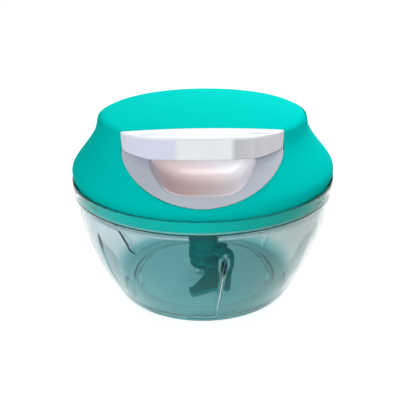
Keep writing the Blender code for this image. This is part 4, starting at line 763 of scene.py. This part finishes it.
def lathe(name, rows, columns, closed=False):
    """Turn rows of (radius, height, fin depth, lug depth) about Z.
    Each column is (angle, fin share, lug share), and moves its points in by share times depth."""
    shape = bmesh.new()
    rings = []
    for row in rows:
        radius, height, fin, lug = (*row, 0.0, 0.0)[:4]
        if radius == 0.0:
            rings.append([shape.verts.new((0.0, 0.0, height))])
            continue
        rings.append([
            shape.verts.new(around(radius - fin * fin_share - lug * lug_share, angle, height))
            for angle, fin_share, lug_share in columns])
    count = len(columns)
    for upper, lower in zip(rings, rings[1:] + rings[:1] if closed else rings[1:]):
        for index in range(count):
            after = (index + 1) % count
            corners = [
                upper[index % len(upper)], upper[after % len(upper)],
                lower[after % len(lower)], lower[index % len(lower)]]
            corners = [vert for place, vert in enumerate(corners) if vert not in corners[:place]]
            shape.faces.new(corners)
    bmesh.ops.recalc_face_normals(shape, faces=shape.faces)
    return smooth(object_from(shape, name))


def prism(name, outline, low, high, axis="Z"):
    """An outline carried along Z, or along Y where the outline is width and height."""
    shape = bmesh.new()
    ends = []
    for level in (low, high):
        if axis == "Z":
            ends.append([shape.verts.new((x, y, level)) for x, y in outline])
        else:
            ends.append([shape.verts.new((x, level, z)) for x, z in outline])
    shape.faces.new(ends[0])
    shape.faces.new(list(reversed(ends[1])))
    count = len(outline)
    for index in range(count):
        after = (index + 1) % count
        shape.faces.new((ends[0][after], ends[0][index], ends[1][index], ends[1][after]))
    bmesh.ops.recalc_face_normals(shape, faces=shape.faces)
    return object_from(shape, name)


def block(name, low, high):
    outline = [low[:2], (high[0], low[1]), high[:2], (low[0], high[1])]
    return prism(name, outline, low[2], high[2])


def apply_modifiers(obj):
    bpy.context.view_layer.update()
    mesh = bpy.data.meshes.new_from_object(obj.evaluated_get(bpy.context.evaluated_depsgraph_get()))
    obj.modifiers.clear()
    obj.data = mesh
    return obj


def combined(obj, operation, tools):
    """Shape an object with tool objects, which are then removed."""
    for tool in tools:
        modifier = obj.modifiers.new(operation, "BOOLEAN")
        modifier.operation = operation
        modifier.solver = "EXACT"
        modifier.object = tool
        apply_modifiers(obj)
        bpy.data.objects.remove(tool)
    return obj


def joined(obj, *tools):
    return combined(obj, "UNION", tools)


def cut(obj, *tools):
    return combined(obj, "DIFFERENCE", tools)


def within(obj, *tools):
    return combined(obj, "INTERSECT", tools)


def soften(obj):
    """Round all edges a little, as a mould does."""
    remesh = obj.modifiers.new("Remesh", "REMESH")
    remesh.mode = "SHARP"
    remesh.octree_depth = SOFTEN_DEPTH
    remesh.scale = 0.95
    remesh.use_remove_disconnected = False
    relax = obj.modifiers.new("Smooth", "SMOOTH")
    relax.iterations = SMOOTH_ROUNDS
    apply_modifiers(obj)
    obj.data.shade_smooth()
    return obj


def skin(shape, rings):
    """Faces from each ring of points to the next, and over both ends."""
    for first, second in zip(rings, rings[1:]):
        for index in range(len(first)):
            after = (index + 1) % len(first)
            shape.faces.new((first[index], first[after], second[after], second[index]))
    shape.faces.new(list(reversed(rings[0])))
    shape.faces.new(rings[-1])


def tube(name, points, radius):
    """A round tube along points, with flat ends."""
    points = [Vector(point) for point in points]
    shape = bmesh.new()
    rings = []
    side = None
    for index, point in enumerate(points):
        ahead = (points[min(index + 1, len(points) - 1)] - points[max(index - 1, 0)]).normalized()
        if side is None:
            side = ahead.orthogonal().normalized()
        side = (side - ahead * side.dot(ahead)).normalized()
        other = ahead.cross(side)
        rings.append([
            shape.verts.new(point + radius * (math.cos(turn) * side + math.sin(turn) * other))
            for turn in spaced(TUBE_SIDES)])
    skin(shape, rings)
    return smooth(object_from(shape, name), 60.0)


def paint(obj, material):
    obj.data.materials.clear()
    obj.data.materials.append(material)


def finished(obj, material, body, slot, *replaced):
    """Give a piece its material, its body and the node that it stands for."""
    paint(obj, material)
    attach(obj, body)
    if replaced:
        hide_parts(*replaced)
    return obj


# Bowl

def bowl_side():
    """The outer side of the bowl from the foot up, as radius and height."""
    gain = SHOULDER_RADIUS - FOOT_RADIUS
    return [
        (FOOT_RADIUS + point.y * gain, point.x * SHOULDER_HEIGHT) for point in through(BOWL_SIDE_SHARES)]


def fin_depth(height):
    share = min(1.0, 2 * (FIN_TOP - height) / (FIN_TOP - FLOOR_TOP))
    return FIN_DEPTH * math.sin(math.pi / 2 * max(0.0, share))


def bowl_rows():
    side = bowl_side()
    turn = FLOOR_TOP + FLOOR_FILLET
    wall = [(radius - BOWL_WALL, height) for radius, height in side if turn < height < SHOULDER_HEIGHT]
    edge = wall[0][0] - (wall[0][1] - turn) * (wall[1][0] - wall[0][0]) / (wall[1][1] - wall[0][1])
    front = edge - FIN_DEPTH
    rows = [
        (0.0, BOSS_FOOT), (PIN_BORE, BOSS_FOOT), (PIN_BORE, BOSS_TOP),
        (BOSS_RADIUS - RIM_EDGE, BOSS_TOP), (BOSS_RADIUS, BOSS_TOP - RIM_EDGE),
        (BOSS_RADIUS + RIM_EDGE, FLOOR_TOP + RIM_EDGE), (BOSS_RADIUS + 3 * RIM_EDGE, FLOOR_TOP),
        (front / 2, FLOOR_TOP), (front - RIM_EDGE, FLOOR_TOP),
    ]
    fillet = arc((edge - FLOOR_FILLET, turn), FLOOR_FILLET, -90.0, 0.0, FILLET_STEPS)
    rows += [(radius, height, radius - front) for radius, height in fillet]
    rows += [(radius, height, fin_depth(height)) for radius, height in wall]
    rows += [(SHOULDER_RADIUS - BOWL_WALL, LEDGE_HEIGHT), (COLLAR_BORE, LEDGE_HEIGHT)]
    for height, depth in (
            (LUG_FOOT - LUG_BEVEL, 0.0), (LUG_FOOT, LUG_DEPTH),
            (LUG_TOP, LUG_DEPTH), (LUG_TOP + LUG_BEVEL, 0.0)):
        rows.append((COLLAR_BORE, height, 0.0, depth))
    outer = COLLAR_RADIUS - RIM_EDGE
    for radius, height, start in (
            (COLLAR_BORE + RIM_EDGE, RIM_HEIGHT - RIM_EDGE, 90.0),
            (outer, RIM_HEIGHT - RIM_EDGE, 0.0), (outer, COLLAR_FOOT + RIM_EDGE, -90.0)):
        rows += reversed(arc((radius, height), RIM_EDGE, start, start + 90.0))
    rows += [(radius, height) for radius, height in reversed(side) if height > FOOT_EDGE]
    rows += [
        (FOOT_RADIUS - FOOT_EDGE / 4, FOOT_EDGE / 3), (FOOT_RADIUS - 3 * FOOT_EDGE / 4, FOOT_EDGE / 12),
        (FOOT_RADIUS - FOOT_EDGE, 0.0), (FOOT_RADIUS - 2 * FOOT_EDGE, FOOT_LIFT),
        (RING_LINE_RADIUS, FOOT_LIFT), (RING_LINE_RADIUS - RING_LINE_WIDTH, FOOT_STEP),
        (RING_LINE_RADIUS - RING_LINE_PITCH, FOOT_STEP),
        (RING_LINE_RADIUS - RING_LINE_PITCH - RING_LINE_WIDTH, 2 * FOOT_STEP), (0.0, 2 * FOOT_STEP),
    ]
    return rows


def feature_columns(count, first, half, section, fins):
    """Columns across each fin or lug: (angle, fin share, lug share)."""
    columns = []
    for middle in spaced(count, first):
        for across, share in section:
            shares = (share, 0.0) if fins else (0.0, share)
            columns.append(((middle + across * half) % math.tau, *shares))
    return columns


def apart(first, second):
    """The angle between two directions about Z."""
    return abs((first - second + math.pi) % math.tau - math.pi)


def bowl_columns():
    fin_half = FIN_HALF_WIDTH / (SHOULDER_RADIUS - 2 * FIN_DEPTH)
    lug_half = LUG_HALF_WIDTH / COLLAR_BORE
    fins = feature_columns(FIN_COUNT, FIN_FIRST_ANGLE, fin_half, FIN_SECTION_SHARES, True)
    lugs = feature_columns(LUG_COUNT, LUG_FIRST_ANGLE, lug_half, LUG_SECTION_SHARES, False)
    taken = fins + lugs
    between = []
    for angle, _, _ in even_columns(WIDE_COLUMNS):
        if min(apart(angle, other[0]) for other in taken) > math.tau / WIDE_COLUMNS / 3:
            in_lug = any(apart(angle, lug) < lug_half for lug in spaced(LUG_COUNT, LUG_FIRST_ANGLE))
            between.append((angle, 0.0, float(in_lug)))
    return sorted(taken + between)


def make_bowl():
    bowl = lathe("clear_bowl", bowl_rows(), bowl_columns())
    for vert in bowl.data.vertices:
        share = max(0.0, 1.0 - vert.co.z / FIN_TOP) - 0.5
        if vert.co.z < LEDGE_HEIGHT:
            vert.co.rotate(Matrix.Rotation(-FIN_TWIST * share, 3, "Z"))
    finished(bowl, clear_plastic("clear_plastic"), "bowl", "clear_plastic", "bowl")


# Lid

def lid_side(inset):
    rise = LID_TOP - FLANGE_HEIGHT
    gain = LID_WIDEST_RADIUS - LID_TOP_RADIUS
    return [
        (LID_TOP_RADIUS + point.y * gain - inset, FLANGE_HEIGHT + point.x * rise)
        for point in reversed(through(LID_SIDE_SHARES))
    ]


def lid_outside():
    edge = LID_TOP_RADIUS - LID_TOP_FILLET
    fillet = arc((edge, LID_TOP - LID_TOP_FILLET), LID_TOP_FILLET, 90.0, 15.0, FILLET_STEPS)
    return [(0.0, LID_TOP), (edge / 2, LID_TOP)] + fillet + lid_side(0.0)


def cover_rows():
    skirt = [
        (SKIRT_RADIUS, FLANGE_HEIGHT), (SKIRT_RADIUS, SKIRT_FOOT),
        (SKIRT_BORE, SKIRT_FOOT), (SKIRT_BORE, SKIRT_TOP)]
    inside = [point for point in reversed(lid_side(LID_WALL)) if SKIRT_TOP + LID_WALL < point[1]]
    roof = LID_TOP - LID_TOP_WALL
    post = [
        (POST_RADIUS, roof), (POST_RADIUS, POST_FOOT), (POST_BORE, POST_FOOT), (POST_BORE, POST_BORE_TOP),
        (0.0, POST_BORE_TOP)]
    return lid_outside() + skirt + inside + [(LID_TOP_RADIUS - LID_TOP_FILLET - LID_WALL, roof)] + post


def half_moon(grow, top):
    """The handle's outline seen from the front, grown outwards."""
    half = HANDLE_HALF_WIDTH + grow
    drop = HANDLE_DROP + grow
    right = [(half, top)]
    for step in range(OUTLINE_STEPS + 1):
        share = math.cos(math.pi / 2 * step / OUTLINE_STEPS)
        fall = (1.0 - share * share) ** HANDLE_ROUND_SHARE
        right.append((half * share, HANDLE_STRAIGHT_FOOT - drop * fall))
    return right + [(-x, z) for x, z in reversed(right[:-1])]


def back_line(grow, deepen):
    half = HANDLE_HALF_WIDTH + grow
    shares = [1.0 - 2.0 * step / OUTLINE_STEPS for step in range(OUTLINE_STEPS + 1)]
    return [(half * share, deepen - HANDLE_BACK - HANDLE_BACK_SAG * share * share) for share in shares]


def pocket_plan(grow, deepen):
    half = HANDLE_HALF_WIDTH + grow + OVERRUN
    front = -LID_WIDEST_RADIUS - OVERRUN
    return back_line(grow + OVERRUN, deepen) + [(-half, front), (half, front)]


def moon_prism(name, grow):
    return prism(name, half_moon(grow, LID_TOP + OVERRUN), -2 * LID_WIDEST_RADIUS, 0.0, "Y")


def upright_prism(name, outline):
    return prism(name, outline, 0.0, 2 * LID_TOP)


def handle_room(name, grow):
    """The space that the handle fills, open to the front."""
    return within(moon_prism(name, grow), upright_prism("plan", pocket_plan(grow, grow)))


def rod(name, radius, low, high, place=(0.0, 0.0), sides=SMALL_COLUMNS // 2):
    """A plain round tool or post."""
    return prism(name, circle(place, radius, sides), low, high)


def sector(name, inner, outer, foot, top, start, end):
    """Part of a ring between two angles in degrees."""
    there = arc((0.0, 0.0), outer, start, end, FILLET_STEPS)
    back = arc((0.0, 0.0), inner, end, start, FILLET_STEPS)
    return prism(name, there + back, foot, top)


def bayonet_slot(middle):
    """An L-shaped slot in the skirt: up past the lug, then round as far as the lid locks."""
    inner = COLLAR_BORE - LUG_DEPTH - SLOT_GAP
    outer = SKIRT_RADIUS + OVERRUN
    half = math.degrees((LUG_HALF_WIDTH + SLOT_GAP) / (COLLAR_BORE - LUG_DEPTH))
    middle = math.degrees(middle)
    top = LUG_TOP + SLOT_GAP
    slot = sector("slot", inner, outer, SKIRT_FOOT - OVERRUN, top, middle - half, middle + half)
    end = middle + LOCK_DEGREES + half
    return joined(slot, sector("run", inner, outer, LUG_FOOT - SLOT_GAP, top, middle - half, end))


def guide_hole():
    outline = circle((0.0, CORD_HEIGHT), GUIDE_BORE)
    return prism("guide", outline, -HANDLE_BACK - OVERRUN, GUIDE_BACK + OVERRUN, "Y")


def make_lid_cover(material):
    cover = lathe("teal_cover", cover_rows(), even_columns(WIDE_COLUMNS))
    roof = LID_TOP - LID_TOP_WALL / 2
    core = [(0.0, roof), (LID_TOP_RADIUS - LID_TOP_FILLET - LID_WALL / 2, roof)] + lid_side(LID_WALL / 2)
    core = lathe("core", core + [(0.0, FLANGE_HEIGHT)], even_columns(WIDE_COLUMNS))
    joined(cover, within(handle_room("walls", SLIDE_GAP + POCKET_WALL), core))
    for angle in SCREW_ANGLES:
        place = around(SCREW_CIRCLE, math.radians(angle))
        joined(cover, rod("post", SCREW_POST_RADIUS, PLATE_TOP + TOUCH_GAP, SCREW_POST_TOP, place))
    cut(cover, handle_room("pocket", SLIDE_GAP), guide_hole())
    for angle in spaced(LUG_COUNT, LUG_FIRST_ANGLE):
        cut(cover, bayonet_slot(angle))
    smooth(cover, 30.0)
    finished(cover, material, "lid", "lid_plastic", "lid_cover")


def side_radius(height):
    """The lid's outer radius at a height."""
    side = lid_side(0.0)
    for (upper_radius, upper), (lower_radius, lower) in zip(side, side[1:]):
        if lower <= height <= upper:
            share = (height - lower) / (upper - lower)
            return lower_radius + share * (upper_radius - lower_radius)
    return side[0][0]


def make_pocket_edge(material):
    """The raised bead round the pocket's opening in the lid's side."""
    line = []
    for x, z in half_moon(SLIDE_GAP + POCKET_BEAD, LID_TOP - LID_TOP_FILLET):
        line.append((x, -math.sqrt(side_radius(z) ** 2 - x * x), z))
    finished(tube("pocket_edge", line, POCKET_BEAD), material, "lid", "lid_plastic")


# Pull handle

def flange_reach(height, inset):
    """Where the flange's slope stands at a height, sunk by an inset."""
    slope = HANDLE_DROP / (FLANGE_FOOT - FLANGE_TOP)
    sink = inset * math.sqrt(1.0 + slope * slope)
    return -FLANGE_TOP + (height - HANDLE_STRAIGHT_FOOT + sink) / slope


def side_outline(inset, back_over):
    lip_foot = LIP_FOOT + inset
    foot = HANDLE_STRAIGHT_FOOT - HANDLE_DROP - OVERRUN
    back = back_over - HANDLE_BACK + OVERRUN
    front = -HANDLE_FRONT + inset
    return [
        (back, LID_TOP - inset), (front, LID_TOP - inset), (front, lip_foot),
        (flange_reach(lip_foot, inset), lip_foot), (flange_reach(foot, inset), foot), (back, foot)]


def side_prism(outline):
    """An outline of depth and height, carried across the handle's width."""
    half = HANDLE_HALF_WIDTH + 2 * OVERRUN
    solid = prism("side", outline, -half, half, "Y")
    solid.data.transform(Matrix.Rotation(-math.pi / 2, 4, "Z") @ Matrix.Scale(-1.0, 4, (1.0, 0.0, 0.0)))
    solid.data.flip_normals()
    return solid


def ahead_of_flange(inset):
    """All that stands clear before the flange's slope, from under the lip's foot up."""
    low = LIP_FOOT + inset - TOUCH_GAP - OVERRUN
    high = LID_TOP + 3 * OVERRUN
    near = inset - TOUCH_GAP / 3
    return side_prism([
        (-LID_TOP, low), (flange_reach(low, near), low),
        (flange_reach(high, near), high), (-LID_TOP, high)])


def lip_ends(inset):
    """The cut that lifts the lip's lower edge towards both ends."""
    foot = LIP_FOOT + inset - TOUCH_GAP
    outer = HANDLE_HALF_WIDTH + OVERRUN
    front = -HANDLE_FRONT - OVERRUN
    slope = LIP_END_RISE / (outer - LIP_END_START)
    low = foot - 2 * OVERRUN
    start = LIP_END_START - 2 * OVERRUN / slope
    outline = [(-outer, foot + LIP_END_RISE), (-outer, low), (-start, low)]
    wedges = [prism("wedge", [(side * x, z) for x, z in outline], front, OVERRUN, "Y") for side in (1, -1)]
    return joined(*wedges)


def lip_plan(inset, back_over):
    half = HANDLE_HALF_WIDTH
    reach = HANDLE_FRONT - HANDLE_CORNER
    right = [(x * half, inset - HANDLE_CORNER - y * reach) for x, y in LIP_SHARES]
    left = [(-x, y) for x, y in right]
    corner = inset - HANDLE_CORNER + OVERRUN
    ends = [(-half - OVERRUN, corner)] + left + list(reversed(right[:-1])) + [(half + OVERRUN, corner)]
    return back_line(OVERRUN, back_over) + ends


def handle_body(name, inset, back_over):
    body = moon_prism(name, -inset)
    plan = upright_prism("plan", pocket_plan(0.0, back_over))
    within(body, side_prism(side_outline(inset, back_over)), plan)
    side = HANDLE_HALF_WIDTH + 2 * OVERRUN
    trim = block(
        "trim", (-side, -LID_TOP, LIP_FOOT + inset - TOUCH_GAP), (side, 0.0, LID_TOP + 2 * OVERRUN))
    lip = upright_prism("lip", lip_plan(inset, back_over + OVERRUN))
    for waste in (cut(trim, lip), lip_ends(inset)):
        cut(body, within(ahead_of_flange(inset), waste))
    return body


def finger_hollow(name, grow):
    shape = bmesh.new()
    bmesh.ops.create_uvsphere(shape, u_segments=HOLLOW_SIDES, v_segments=HOLLOW_SIDES // 2, radius=1.0)
    for vert in shape.verts:
        length = sum(abs(value) ** HOLLOW_ROUND_POWER for value in vert.co) ** (1.0 / HOLLOW_ROUND_POWER)
        x, y, z = vert.co / length
        narrow = 1.0 - HOLLOW_TAPER_SHARE * max(0.0, -z)
        height = HOLLOW_RISE if z > 0.0 else HOLLOW_DROP
        vert.co = (
            x * narrow * HOLLOW_HALF_WIDTH + x * grow,
            y * (HOLLOW_HALF_DEPTH + grow) - HOLLOW_CENTRE_DEPTH,
            z * (height + grow) + HOLLOW_CENTRE)
    return object_from(shape, name)


def bead_boss():
    """The block behind the hollow that holds the cord's bead."""
    return block(
        "boss", (-BEAD_BOSS_HALF_WIDTH, -BEAD_BOSS_BACK, LID_TOP - BEAD_BOSS_DROP),
        (BEAD_BOSS_HALF_WIDTH, 2 * OVERRUN - HANDLE_BACK, LID_TOP - HANDLE_WALL / 2))


def bead_slot():
    """The room for the bead and the cord, entered from the +X side."""
    side = BEAD_BOSS_HALF_WIDTH + OVERRUN
    bead = block(
        "bead_room", (-BEAD_ROOM, -BEAD_CENTRE - BEAD_ROOM, CORD_HEIGHT - BEAD_ROOM),
        (side, -BEAD_SEAT, CORD_HEIGHT + BEAD_ROOM))
    cord = block(
        "cord_room", (-CORD_ROOM, -BEAD_CENTRE, CORD_HEIGHT - CORD_ROOM),
        (side, OVERRUN - HANDLE_BACK, CORD_HEIGHT + CORD_ROOM))
    return joined(bead, cord)


def dimple(side):
    shape = bmesh.new()
    bmesh.ops.create_uvsphere(shape, u_segments=DIMPLE_SIDES, v_segments=DIMPLE_SIDES // 2, radius=1.0)
    size = Matrix.Diagonal((DIMPLE_HALF_WIDTH, DIMPLE_HALF_DEPTH, DIMPLE_DEPTH, 1.0))
    place = Matrix.Translation((side * DIMPLE_OFFSET, -DIMPLE_SETBACK, LID_TOP))
    bmesh.ops.transform(shape, matrix=place @ size, verts=shape.verts)
    return object_from(shape, "dimple")


def make_pull_handle(material):
    core = cut(
        handle_body("core", HANDLE_WALL, OVERRUN), finger_hollow("wall", HANDLE_WALL), bead_boss())
    lip = cut(
        block("lip_wall", (-LID_TOP, -LID_TOP, LIP_FOOT), (LID_TOP, 0.0, LID_TOP)),
        upright_prism("lip_room", lip_plan(HANDLE_WALL, 2 * OVERRUN)))
    hollow = cut(finger_hollow("hollow", 0.0), lip)
    handle = cut(
        handle_body("white_handle", 0.0, 0.0), core, hollow, bead_slot(), dimple(-1.0), dimple(1.0))
    soften(handle)
    finished(handle, material, "handle", "handle_plastic", "pull_handle")


# Blade unit

def make_holder(material):
    rows = [
        (0.0, HEAD_TOP), (HEAD_CORE_RADIUS, HEAD_TOP), (HEAD_CORE_RADIUS, HOLDER_TOP),
        (HOLDER_RADIUS - HOLDER_EDGE / 2, HOLDER_TOP), (HOLDER_RADIUS, HOLDER_TOP - HOLDER_EDGE / 2),
        (HOLDER_RADIUS, HOLDER_FOOT + HOLDER_EDGE), (HOLDER_RADIUS - HOLDER_EDGE, HOLDER_FOOT),
        (HOLDER_BORE, HOLDER_FOOT), (HOLDER_BORE, HOLDER_BORE_TOP), (0.0, HOLDER_BORE_TOP),
    ]
    holder = lathe("dark_holder", rows, even_columns(SMALL_COLUMNS))
    for height, arms, first in (
            (LOWER_BLADE_HEIGHT, LOWER_ARMS, LOWER_ROOT_ANGLE),
            (UPPER_BLADE_HEIGHT, UPPER_ARMS, UPPER_ROOT_ANGLE)):
        foot = max(HOLDER_FOOT, height - ROOT_LOBE_HALF_HEIGHT)
        top = height + ROOT_LOBE_HALF_HEIGHT
        for angle in spaced(arms, first):
            joined(holder, rod("lobe", ROOT_LOBE_RADIUS, foot, top, around(ROOT_LOBE_REACH, angle)))
    for angle in spaced(DOG_COUNT, math.pi / 2):
        dog = block("dog", (0.0, -DOG_WIDTH / 2, DOG_FOOT), (DOG_REACH, DOG_WIDTH / 2, HEAD_TOP))
        dog.data.transform(Matrix.Rotation(angle, 4, "Z"))
        joined(holder, dog)
    reach = ROOT_LOBE_REACH + ROOT_LOBE_RADIUS + OVERRUN
    half = BLADE_THICKNESS / 2 + TOUCH_GAP
    for height in (LOWER_BLADE_HEIGHT, UPPER_BLADE_HEIGHT):
        rows = [
            (reach, height + half), (reach, height - half),
            (GROOVE_CORE, height - half), (GROOVE_CORE, height + half)]
        cut(holder, lathe("groove", rows, even_columns(SMALL_COLUMNS), closed=True))
    soften(holder)
    finished(holder, material, "blades", "holder_plastic", "blade_holder")


def blade_outline(shares, width, reach, cut_count, arms):
    """Evenly spaced arms, joined round the holder. Each point is followed by whether it is ground."""
    arm = [Vector((x * width, -y * reach)) for x, y in shares]
    fine = through(arm)
    steps = RING_STEPS // arms
    start = math.atan2(arm[-1].y, arm[-1].x)
    end = math.atan2(arm[0].y, arm[0].x) + math.tau / arms
    outline = []
    for arm_angle in spaced(arms):
        turn = Matrix.Rotation(arm_angle, 2)
        outline += [
            (turn @ point, CURVE_STEPS / 2 < place < (cut_count - 1) * CURVE_STEPS)
            for place, point in enumerate(fine)]
        for step in range(1, steps):
            angle = start + (end - start) * step / steps
            outline.append((turn @ Vector((math.cos(angle), math.sin(angle))) * RING_OUTER_RADIUS, False))
    return outline


def make_blade(name, replaced, height, material, outline):
    shape = bmesh.new()
    count = len(outline)
    foot = height - BLADE_THICKNESS / 2
    top = height + BLADE_THICKNESS / 2
    low = [shape.verts.new((*point, foot)) for point, _ in outline]
    edge = []
    high = []
    for index, (point, ground) in enumerate(outline):
        ahead = outline[(index + 1) % count][0] - outline[index - 1][0]
        inward = Vector((-ahead.y, ahead.x)).normalized()
        inset = point + inward * GRIND_WIDTH if ground else point
        high.append(shape.verts.new((*inset, top)))
        edge.append(shape.verts.new((*point, foot + GRIND_EDGE)) if ground else high[index])
    shape.faces.new(list(reversed(low)))
    shape.faces.new(high)
    for index in range(count):
        after = (index + 1) % count
        shape.faces.new((low[index], low[after], edge[after], edge[index]))
        slope = [edge[index], edge[after], high[after], high[index]]
        corners = [vert for place, vert in enumerate(slope) if vert not in slope[:place]]
        if len(corners) > 2:
            shape.faces.new(corners)
    bmesh.ops.recalc_face_normals(shape, faces=shape.faces)
    blade = object_from(shape, name)
    cut(blade, rod("bore", RING_INNER_RADIUS, foot - OVERRUN, top + OVERRUN, sides=SMALL_COLUMNS))
    smooth(blade, 25.0)
    finished(blade, material, "blades", "coated_blade", replaced)


# Seal and lid base

def make_seal(material):
    rows = [
        (SEAL_RADIUS, SEAL_FOOT + SEAL_HEIGHT), (SEAL_RADIUS, SEAL_FOOT + SEAL_LIP),
        (SEAL_SKIRT, SEAL_FOOT + SEAL_LIP), (SEAL_SKIRT, SEAL_FOOT),
        (SEAL_BORE, SEAL_FOOT), (SEAL_BORE, SEAL_FOOT + SEAL_HEIGHT),
    ]
    seal = lathe("pale_seal", rows, even_columns(WIDE_COLUMNS), closed=True)
    finished(seal, material, "seal", "silicone", "seal_ring")


def make_base(material):
    groove_top = SEAL_FOOT + SEAL_HEIGHT + TOUCH_GAP
    rows = [
        (BEARING_RADIUS, BEARING_TOP), (BEARING_RADIUS, PLATE_TOP),
        (BASE_LIP, PLATE_TOP), (BASE_LIP, groove_top), (BASE_RIM, groove_top),
        (BASE_RIM, SEAL_FOOT - TOUCH_GAP), (BASE_LIP, SEAL_FOOT - TOUCH_GAP), (BASE_LIP, BASE_FOOT),
        (BASE_RIM_BORE, BASE_FOOT), (BASE_RIM_BORE, PLATE_FOOT),
        (BEARING_BORE, PLATE_FOOT), (BEARING_BORE, BEARING_TOP),
    ]
    base = lathe("teal_base", rows, even_columns(WIDE_COLUMNS), closed=True)
    finished(base, material, "lid", "base_plastic", "lid_base")


# Cord

def leave_angle():
    return math.acos(WINDING_RADIUS / abs(GUIDE_BACK)) - math.pi / 2


def wound_drop(turns):
    """How far the winding has come down. It leaves the lead's level within the first part of a turn."""
    if turns < DROP_TURNS:
        return FIRST_DROP * turns / DROP_TURNS
    share = (turns - DROP_TURNS) / (CORD_TURNS - DROP_TURNS)
    return FIRST_DROP + (CORD_TURNS * CORD_PITCH - FIRST_DROP) * share


def coil_points(radius, turns, height_at, start=0.0):
    """A coil about Z, with its height as a function of the turns so far."""
    return [
        around(radius, start + math.tau * step / COIL_STEPS, height_at(step / COIL_STEPS))
        for step in range(turns * COIL_STEPS + 1)]


def make_cord(material):
    winding = coil_points(
        WINDING_RADIUS, CORD_TURNS, lambda turns: CORD_HEIGHT - wound_drop(turns),
        leave_angle() + TOUCH_GAP / WINDING_RADIUS)
    finished(tube("wound_cord", winding, CORD_RADIUS), material, "spool", "cord", "cord_winding")
    drum = Vector(around(WINDING_RADIUS, leave_angle(), CORD_HEIGHT))
    turn = Vector((0.0, GUIDE_BACK, CORD_HEIGHT))
    bead = Vector((0.0, BEAD_FRONT, CORD_HEIGHT))
    line = [drum.lerp(turn, step / DRUM_STEPS) for step in range(DRUM_STEPS)]
    line += [turn.lerp(bead, step / LEAD_STEPS) for step in range(LEAD_STEPS + 1)]
    lead = tube("cord_to_handle", line, CORD_RADIUS)
    lead.data.materials.append(material)
    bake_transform(lead)
    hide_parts("cord_lead")


def make_clutch_spring(material):
    low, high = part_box("clutch_spring")
    rise = (high.z - low.z - 2 * CLUTCH_WIRE) / CLUTCH_TURNS
    line = coil_points(
        high.x - CLUTCH_WIRE, CLUTCH_TURNS, lambda turns: low.z + CLUTCH_WIRE + rise * turns)
    coil = finished(
        tube("clutch_coil", line, CLUTCH_WIRE), material, "drive", "spring_steel", "clutch_spring")
    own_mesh(coil)


def make_recoil_spring(material):
    """The flat spiral, with the rounded edges of rolled strip."""
    half = SPRING_STRIP / 2
    edge = half / 2
    foot = [(-half, edge), (-edge, 0.0), (edge, 0.0), (half, edge)]
    section = foot + [(-out, SPRING_HEIGHT - up) for out, up in foot]
    shape = bmesh.new()
    rings = []
    steps = SPRING_STEPS * SPRING_TURNS
    for step in range(steps + 1):
        middle = SPRING_INNER + (SPRING_OUTER - SPRING_INNER) * step / steps
        angle = math.tau * SPRING_TURNS * step / steps
        rings.append([
            shape.verts.new(around(middle + out, angle, SPRING_FOOT + up)) for out, up in section])
    skin(shape, rings)
    bmesh.ops.recalc_face_normals(shape, faces=shape.faces)
    spring = smooth(object_from(shape, "recoil_strip"), 30.0)
    finished(spring, material, "lid", "spring_steel", "recoil_spring")


def main():
    bpy.context.scene.view_settings.view_transform = "Standard"
    make_camera()
    make_world()
    make_floor()
    make_lights()
    moulds = {name: moulded(name, *values) for name, values in MOULDED.items()}
    teal = moulds["teal_plastic"]
    blade = moulds["blade_dark_teal"]
    metal = steel("steel", STEEL)
    make_bowl()
    make_lid_cover(teal)
    make_pocket_edge(teal)
    make_pull_handle(white_plastic("white_plastic"))
    make_holder(moulds["dark_teal_plastic"])
    make_blade("lower_blade", "blade_lower", LOWER_BLADE_HEIGHT, blade, blade_outline(
        LOWER_ARM_SHARES, LOWER_BLADE_WIDTH, LOWER_BLADE_REACH, LOWER_CUT_COUNT, LOWER_ARMS))
    make_blade("upper_blade", "blade_upper", UPPER_BLADE_HEIGHT, blade, blade_outline(
        UPPER_ARM_SHARES, UPPER_BLADE_WIDTH, UPPER_BLADE_REACH, UPPER_CUT_COUNT, UPPER_ARMS))
    make_seal(moulds["silicone"])
    make_base(teal)
    make_cord(braid("cord", PALE))
    make_clutch_spring(metal)
    make_recoil_spring(metal)
    for name in STEEL_NODES:
        paint(nodes[name], metal)
    for name in ("spool", "clutch_disc", "cord_bead"):
        paint(nodes[name], moulds["inner_plastic"])
    paint(nodes["drive_socket"], teal)


main()
bpy.context.view_layer.update()
